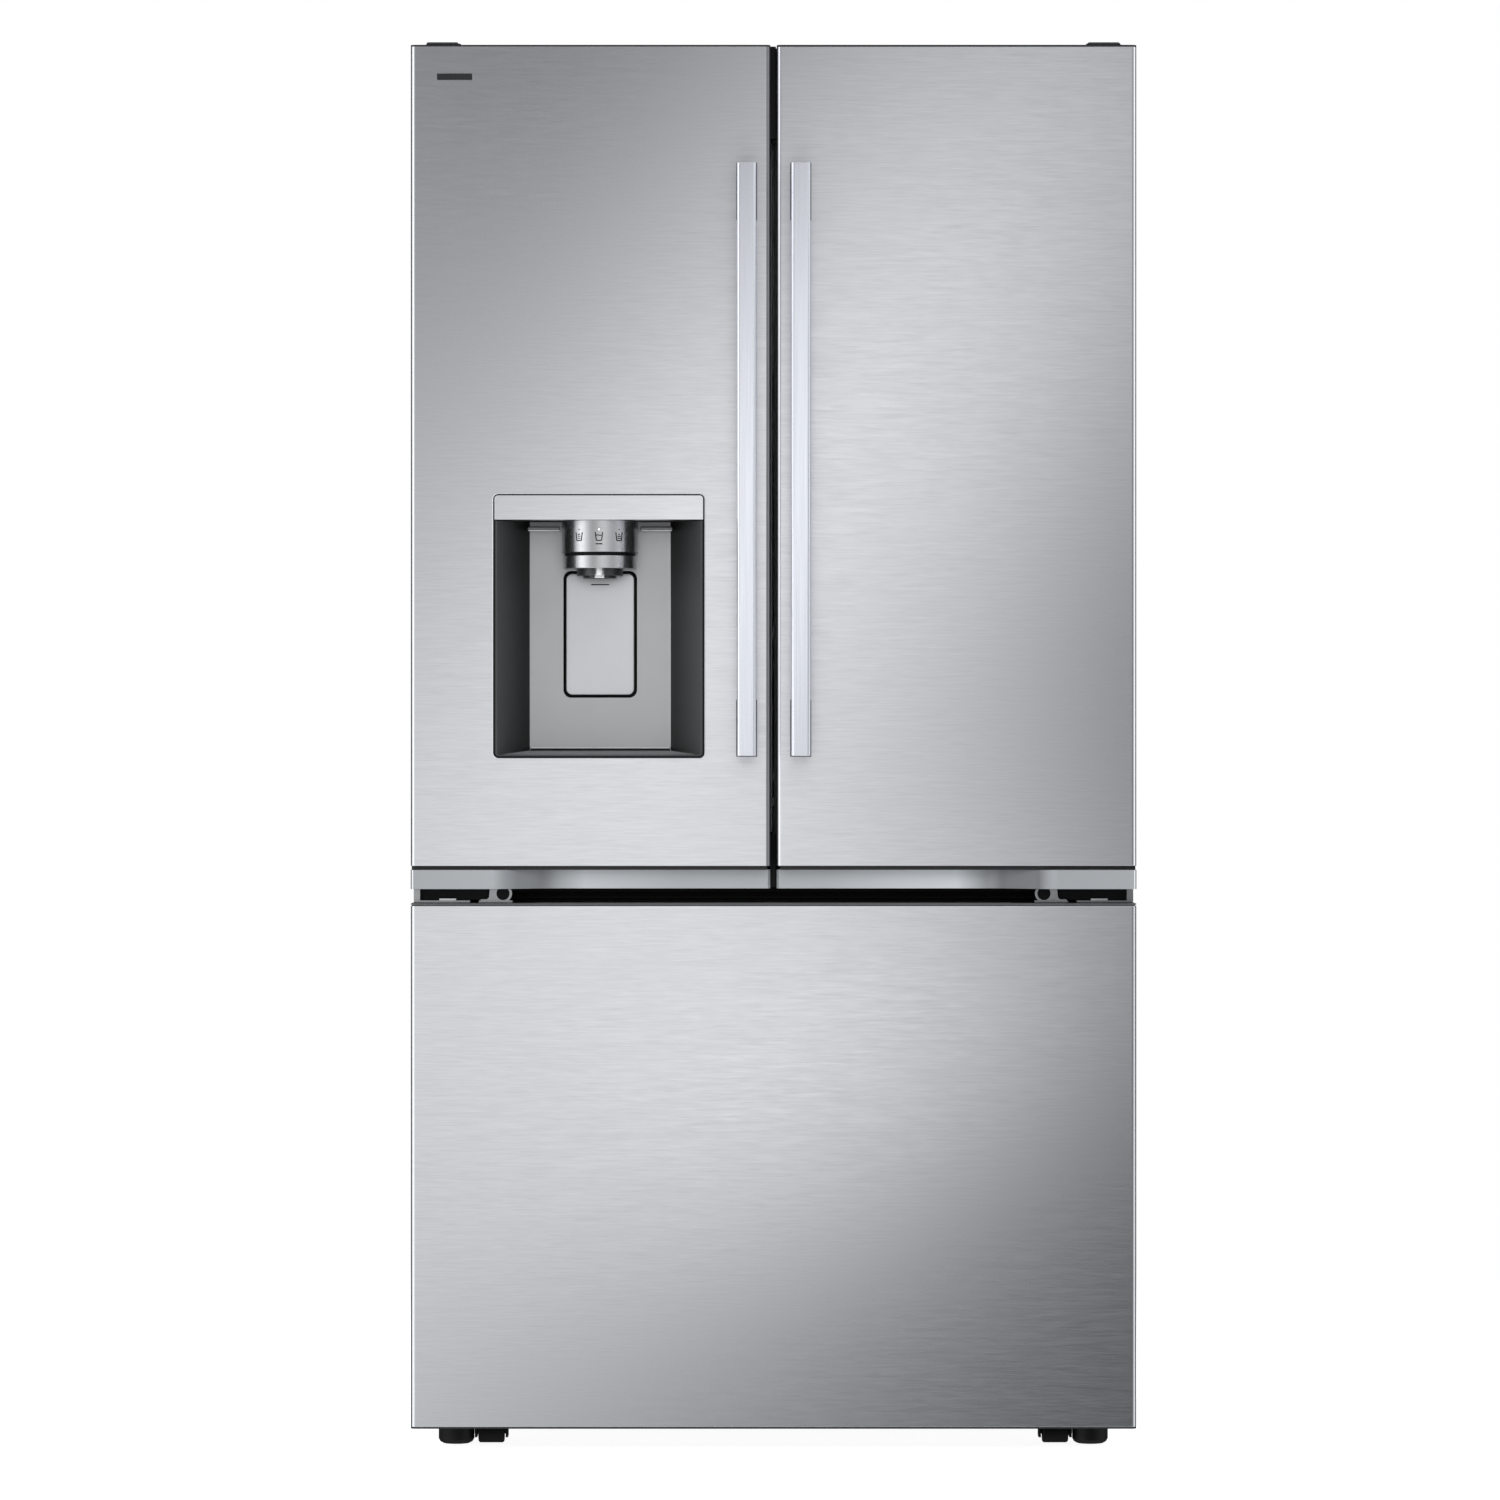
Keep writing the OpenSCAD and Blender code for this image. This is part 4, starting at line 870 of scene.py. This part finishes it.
# a black strip where the floor meets the back wall: painted shade in the crease
slab("drip_crease_shade", (DISP_X - DRIP_HALF, NICHE_BACK - 2.2 * MM, NICHE_FLOOR - 0.6 * MM),
     (DISP_X + DRIP_HALF, WALL_Y, NICHE_FLOOR + 2.3 * MM), 0.4 * MM, INK, "left_door")

FLOOR_SLOPE = 5.5 / 74          # how steeply the niche's floor falls to the front
FLOOR_SPREAD = 0.5              # and how fast it gets wider


def drip_grille():
    """Bars across the sloping floor."""
    bars = []
    for i in range(8):
        ahead = (8 + 7.5 * i) * MM
        back = NICHE_BACK - ahead
        level = NICHE_FLOOR - ahead * FLOOR_SLOPE
        half = DRIP_HALF + ahead * FLOOR_SPREAD
        bars.append(((DISP_X - half, back - 3 * MM, level - 1 * MM),
                     (DISP_X + half, back, level + 0.7 * MM)))
    slabs("drip_grille", bars, 0.4 * MM, GRILLE, "left_door")


drip_grille()

# touch icons, drawn as strokes wrapped round the control head

HEAD_R = 48 * MM                # the control head's radius
HEAD_Y = FACE_Y + 4 * MM + HEAD_R           # and its axis
ICON_Z = house_high.z - 51 * MM
CUP = (((-4.6, 5.2), (-3.3, -5.2)), ((-3.3, -5.2), (3.3, -5.2)), ((3.3, -5.2), (4.6, 5.2)))
CRUSHED = (((-1.8, -3), (-0.6, -1.6)), ((0.4, -3.2), (1.8, -2.2)), ((-1.6, 0), (-0.2, 0.8)),
           ((0.6, -0.4), (1.8, 0.6)), ((-0.4, 2.4), (1.4, 3.2)), ((-2, 2.2), (-1, 3.4)))
WATER = (((-3.4, 1.2), (-1.2, 1.8)), ((-1.2, 1.8), (1.2, 1.0)), ((1.2, 1.0), (3.4, 1.6)))
CUBES = [((x, z), (x + 1.7, z)) for x, z in ((-2, -2.6), (0.5, -2.6), (-2, 0), (0.5, 0),
                                             (-0.8, 2.6))]
DOT = (((-0.75, 8.6), (0.75, 8.6)),)
LINE = (((-4.2, -9.4), (4.2, -9.4)),)
ICONS = (                       # name, angle round the head, strokes in the cup, their width in mm
    ("crushed", -31.5, CRUSHED, 1.2), ("water", 0, WATER, 1.2), ("cubed", 31.5, CUBES, 1.7),
)


def stroke(bm, start, end, width, angle):
    """A raised line on the head from start to end, in mm, about a point at angle in degrees."""
    along = Vector(end) - Vector(start)
    off = Vector((-along.y, along.x)).normalized() * width / 2
    corners = [Vector(start) + off, Vector(start) - off, Vector(end) - off, Vector(end) + off]
    loops = []
    for radius in (HEAD_R - 0.1 * MM, HEAD_R + 0.18 * MM):
        loop = []
        for corner in corners:
            a = math.radians(angle) + corner.x * MM / HEAD_R
            point = (DISP_X + radius * math.sin(a), HEAD_Y - radius * math.cos(a),
                     ICON_Z + corner.y * MM)
            loop.append(bm.verts.new(point))
        loops.append(loop)
    cap_ends(bm, loops)
    bridge(bm, loops)


def icon_piece(name, drawn, angle, material):
    """Strokes as one piece; drawn is (strokes, width) pairs."""
    bm = bmesh.new()
    for strokes, width in drawn:
        for start, end in strokes:
            stroke(bm, start, end, width, angle)
    finish_piece(name, bm, [material], "left_door")


for icon, angle, inside, width in ICONS:
    icon_piece("icon_" + icon, ((CUP, 1.3), (inside, width)), angle, INK)
    icon_piece("icon_dot_" + icon, ((DOT, 1.5),), angle, LIT if icon == "water" else INK)
icon_piece("icon_line", ((LINE, 1.5),), 0, INK)


# ---------------------------------------------------------------- badge, hinges, feet

slab("badge", (skin_low.x + 33 * MM, FACE_Y - 0.8 * MM, skin_high.z - 42 * MM),
     (skin_low.x + 77 * MM, FACE_Y + 0.4 * MM, skin_high.z - 34 * MM), 0.38 * MM, EDGE, "left_door")

mullion_low, mullion_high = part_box("mullion")
# a grey strip along the mullion's edge: a painted highlight
slab("mullion_highlight_strip",
     (mullion_high.x - 2.4 * MM, mullion_low.y - 0.8 * MM, mullion_low.z + 37 * MM),
     (mullion_high.x - 0.4 * MM, mullion_low.y + 1.0 * MM, mullion_high.z - 41 * MM),
     0.35 * MM, NICHE, "mullion")

cover_low, cover_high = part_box("hinge_covers")
COVER_INNER = cover_high.x - 25 * MM        # corners within this x are at a cover's inner end
COVER_SLOPE = 11 * MM           # how far the high corners there move out
COVER_FRONT = cover_high.y - 130 * MM       # corners ahead of this are lowered
REAR_OF_DOORS = FACE_Y + 80 * MM            # splits a cover's front part from its rear part
GAP_FLOOR = trim_low.z - 14.8 * MM          # top of the middle hinges' plates
PIN_X, PIN_Y, PIN_ZONE = 432 * MM, -270 * MM, 6.5 * MM      # the middle hinges' pins
PAD_X = (398 * MM, 421 * MM)    # from the object's middle to the ends of the plates' pads
FLANGE_Y = FACE_Y + 96 * MM     # front of the flanges that hold the plates to the case


def paint_brackets(centre, normal):
    """Plated steel; on the middle hinges, painted shade: black flanges and pins, and darker grey
    fronts.
    """
    x = abs(centre.x)
    if centre.z >= trim_low.z:
        return 0
    if centre.y > FLANGE_Y or math.hypot(x - PIN_X, centre.y - PIN_Y) < PIN_ZONE:
        return 1
    pad = centre.z > GAP_FLOOR - 0.2 * MM and PAD_X[0] < x < PAD_X[1]
    return 2 if normal.y < -0.92 and not pad else 0


def move_cover(place):
    """The top hinge covers get a sloped inner end, and a narrower and lower front."""
    rear = place.y > REAR_OF_DOORS
    high = place.z > cover_low.z + 17 * MM
    if abs(place.x) < COVER_INNER:
        shift = (COVER_SLOPE if high else 0) if rear else 1.5 * MM
    else:
        shift = 0 if rear else -4 * MM
    lowered = place.y < COVER_FRONT and place.z > cover_low.z + 3 * MM
    return (math.copysign(1, place.x) * shift, 0, -2 * MM if lowered else 0)


def move_bracket(place):
    """The top brackets are a little narrower at their inner ends, under the covers."""
    inner = place.z > skin_high.z - 15 * MM and abs(place.x) < COVER_INNER
    return (math.copysign(1, place.x) * 7 * MM if inner else 0, 0, 0)


SCREW_SPLIT = 1.0               # the middle hinges' screws, below this, are black: painted shade
rounded("hinge_screws", 0.8 * MM, 2, materials=[SCREW, BLACK],
        paint=lambda centre, normal: 1 if centre.z < SCREW_SPLIT else 0)
rounded("hinge_covers", 1.4 * MM, 3, move=move_cover)
rounded("hinge_brackets", 0.9 * MM, 3, paint=paint_brackets, materials=[ZINC, BLACK, SHADED_ZINC],
        move=move_bracket)
for side, sign in SIDES:        # black blocks behind the middle hinges, over their plates
    x0, x1 = span(sign, 357.5 * MM, 443 * MM)
    slab(side + "_hinge_block", (x0, PIN_Y - 22 * MM, GAP_FLOOR),
         (x1, PIN_Y + 30 * MM, trim_low.z - 0.8 * MM), 0.8 * MM, BLACK, "cabinet")
rounded("center_crossbar", 0.8 * MM, 2)
for leg in ("left_leveling_leg", "right_leveling_leg"):
    rounded(leg, 0.8 * MM, 2)
for wheel in ("front_left", "front_right", "rear_left", "rear_right"):
    rounded(wheel + "_roller", 1.0 * MM, 3)

BLACK_BELOW = 37.9 * MM         # the base frame is black below this height
BLACK_AHEAD = skin_high.y + 60 * MM         # and ahead of this depth
rounded("base_frame", 0.5 * MM, 2, materials=[ENAMEL, BLACK],
        paint=lambda centre, normal: 1 if centre.z < BLACK_BELOW and centre.y < BLACK_AHEAD else 0)


# ---------------------------------------------------------------- inside

INSIDE = (                      # node, edge in mm, its segments, inner corner in mm
    ("fridge_liner", 1.0, 2, 6), ("freezer_liner", 1.0, 2, 6), ("shelf_frames", 0.9, 2, 0),
    ("glass_shelves", 0.5, 2, 0), ("air_ducts", 4, 4, 0), ("ice_compartment", 1.6, 3, 0),
    ("left_crisper", 1.1, 2, 6), ("right_crisper", 1.1, 2, 6), ("pantry_drawer", 1.1, 2, 6),
    ("freezer_basket", 1.1, 2, 6), ("upper_freezer_basket", 1.1, 2, 6), ("compressor", 3, 3, 0),
)
for node, edge, segments, corner in INSIDE:
    rounded(node, edge * MM, segments, inner=corner * MM)


# ---------------------------------------------------------------- small parts inside

def mirrored(boxes):
    """The boxes and their mirror images across the middle."""
    flipped = [((-high[0], low[1], low[2]), (-low[0], high[1], high[2])) for low, high in boxes]
    return boxes + flipped


def mm(*boxes):
    """Boxes given as x0, x1, y0, y1, z0, z1 in millimetres."""
    return [((b[0] * MM, b[2] * MM, b[4] * MM), (b[1] * MM, b[3] * MM, b[5] * MM)) for b in boxes]


def box_mm(node):
    """A node's x0, x1, y0, y1, z0, z1 in millimetres."""
    low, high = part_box(node)
    return [value / MM for pair in zip(low, high) for value in pair]


def front_trim(name, node, inset, height):
    """A satin band along the top of a drawer's front, inset from its ends."""
    x0, x1, y0, _, _, z1 = box_mm(node)
    slabs(name, mm((x0 + inset, x1 - inset, y0 - 0.9, y0 + 0.3, z1 - 6 - height, z1 - 6)),
          0.4 * MM, BAND, nodes[node]["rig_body"])


# from here on, places inside the case are in millimetres

slabs("ceiling_lamp", mm((-110, 110, -172, -112, 1690.5, 1697.4)), 2 * MM, GLOW, "cabinet", 3)
slabs("ceiling_lamp_frame", mm((-114, 114, -176, -108, 1693.5, 1697.3)), 1.2 * MM, WHITE,
      "cabinet", 3)

SHELVES = (                     # left end, right end and middle height
    (-385, -8, 1225), (-385, -8, 1440), (8, 385, 1225), (8, 385, 1390), (-385, 385, 843),
    (-385, 385, 1030),
)
SHELF_FRONT = box_mm("shelf_frames")[2]
UPRIGHTS = (-386.6, -7, 7, 386.6)
SLOT_Y, SLOT_Z = (299.5, 300.4), range(1096, 1645, 25)
slabs("shelf_trims", mm(*((x0 + 2, x1 - 2, SHELF_FRONT - 0.9, SHELF_FRONT + 0.3, z - 4.5, z + 4.5)
                          for x0, x1, z in SHELVES)), 0.4 * MM, BAND, "cabinet")
slabs("upright_slots", mm(*((x - 2.5, x + 2.5, *SLOT_Y, z, z + 11)
                            for x in UPRIGHTS for z in SLOT_Z)), 0.2 * MM, INK, "cabinet", 1)

VENTS = [(20, 86, z, z + 30) for z in (1130, 1300, 1500, 1630)] + [(60, 300, 618, 640)]
VENT_Y, LOUVRE_Y = (305.3, 306.4), (304.2, 306.2)
LOUVRE_STEP = 7
slabs("vent_slots", mirrored(mm(*((x0, x1, *VENT_Y, z0, z1) for x0, x1, z0, z1 in VENTS))),
      0.4 * MM, INK, "cabinet")
louvres = [(x0, x1, *LOUVRE_Y, z, z + 3) for x0, x1, z0, z1 in VENTS
           for z in range(z0 + 3, z1 - LOUVRE_STEP + 2, LOUVRE_STEP)]
slabs("vent_louvres", mirrored(mm(*louvres)), 0.6 * MM, LINER, "cabinet")

FILTER_CAP = [(0.034, 0), (0.034, 0.016), (0.031, 0.021), (0.020, 0.0225), (0.0002, 0.023)]
FILTER_X, FILTER_Y, FILTER_Z = 330, 322.2, 1640
lathes("filter_cap", FILTER_CAP, [(FILTER_X * MM, FILTER_Y * MM, FILTER_Z * MM)], (0, -1, 0),
       WHITE, "cabinet", 48)
slabs("filter_grip", mm((FILTER_X - 27, FILTER_X + 27, 293, 300.5, FILTER_Z - 5, FILTER_Z + 5)),
      2 * MM, NICHE, "cabinet", 3)

BIN_HEIGHTS = {"left": (770, 985), "right": (770, 1010, 1260, 1490)}
BIN_X = (100, 368)              # a bin's trim, from the middle
TRACK_Z, KNOB_Z = (1027.8, 1032.2), (1026.4, 1033.6)
for side, sign in SIDES:
    crisper = side + "_crisper"
    front_trim(crisper + "_trim", crisper, 42, 10)
    x0, x1, y0, _, z0, z1 = box_mm(crisper)
    lines = [(x0 + 10, x1 - 10, y0 + 4.2, y0 + 5.4, z, z + 1.6) for z in (z0 + 14, z1 - 30)]
    slabs(crisper + "_lines", mm(*lines), 0.4 * MM, WHITE, crisper)
    middle = (x0 + x1) / 2
    slabs(side + "_humidity_track",
          mm((middle - 34, middle + 34, SHELF_FRONT - 1.3, SHELF_FRONT + 0.2, *TRACK_Z)),
          0.5 * MM, GASKET, "cabinet")
    slabs(side + "_humidity_knob",
          mm((middle + 6, middle + 20, SHELF_FRONT - 3.2, SHELF_FRONT - 0.8, *KNOB_Z)),
          0.9 * MM, WHITE, "cabinet")
    ends = span(sign, *BIN_X)
    bin_back = box_mm(side + "_door_bins")[3]
    slabs(side + "_bin_trims", mm(*((*ends, bin_back - 0.4, bin_back + 0.9, z + 87, z + 100)
                                    for z in BIN_HEIGHTS[side])), 0.5 * MM, BAND, side + "_door")

front_trim("pantry_trim", "pantry_drawer", 60, 10)

x0, x1, _, cover, z0, z1 = box_mm("ice_compartment")    # its cover faces into the fridge
x0, x1, z0, z1 = x0 + 10, x1 - 10, z0 + 10, z1 - 10
seam_y = (cover - 0.6, cover + 0.3)
slabs("ice_cover_seam", mm((x0, x1, *seam_y, z0, z0 + 1.4), (x0, x1, *seam_y, z1 - 1.4, z1),
                           (x0, x0 + 1.4, *seam_y, z0 + 1.4, z1 - 1.4),
                           (x1 - 1.4, x1, *seam_y, z0 + 1.4, z1 - 1.4)),
      0.2 * MM, GASKET, "left_door", 1)
slabs("ice_cover_latch", mm((x1 - 30, x1 - 8, cover - 0.5, cover + 2.4, 1432, 1478)), 1.1 * MM,
      NICHE, "left_door", 3)
slabs("ice_cover_vents", mm(*((x0 + 50, x1 - 50, cover - 0.5, cover + 0.4, z, z + 3)
                              for z in range(1610, 1650, 8))), 0.3 * MM, GASKET, "left_door")

RIM_HALF = 371                  # half the width of the basket's rims
_, _, y0, y1, z0, rim = box_mm("freezer_basket")
ribs = [(x - 1.5, x + 1.5, y0 - 1.2, y0 + 0.3, z0 + 16, rim - 24) for x in range(-340, 341, 40)]
slabs("basket_ribs", mm(*ribs), 0.6 * MM, BASKET, "freezer_drawer")
slabs("basket_rims", mm((-RIM_HALF, RIM_HALF, y0 - 2.2, y0 + 3.6, rim - 7, rim + 1.2),
                        (-RIM_HALF, RIM_HALF, y1 - 3.6, y1 + 1.5, rim - 7, rim + 1.2)),
      1.4 * MM, BASKET, "freezer_drawer")
front_trim("upper_basket_trim", "upper_freezer_basket", 30, 12)


# ---------------------------------------------------------------- back

panel_low, panel_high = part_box("back_panel")
machine_low, machine_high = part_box("machine_cover")
SHEET = panel_high.y / MM       # the back panel's outer face, in mm
CASE_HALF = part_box("cabinet_shell")[1].x / MM - 1
BEAD_Y, BEAD_Z = (SHEET - 0.3, SHEET + 1.4), (420, 1640)
beads = mirrored(mm(*((x, x + 6, *BEAD_Y, *BEAD_Z) for x in (296, 146))))
beads += mm((-420, 420, *BEAD_Y, 1690, 1696))
slabs("back_panel_beads", beads, 0.8 * MM, SLOT_LOOKS[node_slots["back_panel"]], "cabinet", 3)

SCREW_HEAD = [(r * MM, h * MM) for r, h in (    # a low dome with a recess in its middle
    (5.2, 0), (5.2, 1.17), (4.472, 2.21), (2.34, 2.6), (1.976, 2.6), (1.352, 1.3), (0.104, 1.17))]
panel_places = [(x, z) for x in (-441, 441) for z in range(330, 1740, 200)]
panel_places += [(x, 1738) for x in (-220, 0, 220)]
cover_places = [(x * MM, z) for x in (-430, 0, 430)
                for z in (machine_low.z + 10 * MM, machine_high.z - 10 * MM)]
screws = [(x * MM, panel_high.y - 0.1 * MM, z * MM) for x, z in panel_places]
screws += [(x, machine_high.y - 0.1 * MM, z) for x, z in cover_places]
lathes("back_screws", SCREW_HEAD, screws, (0, 1, 0), SCREW, "cabinet", 20)

slabs("case_corners", mirrored(mm((machine_high.x / MM + 0.3, CASE_HALF - 0.2, SHEET - 0.95,
                                   SHEET + 0.6, 43, panel_low.z / MM - 0.3))),
      0.4 * MM, CASE, "cabinet")
rounded("machine_cover", 0.5 * MM, 2)
rounded("rear_ports", 0.5 * MM, 2)
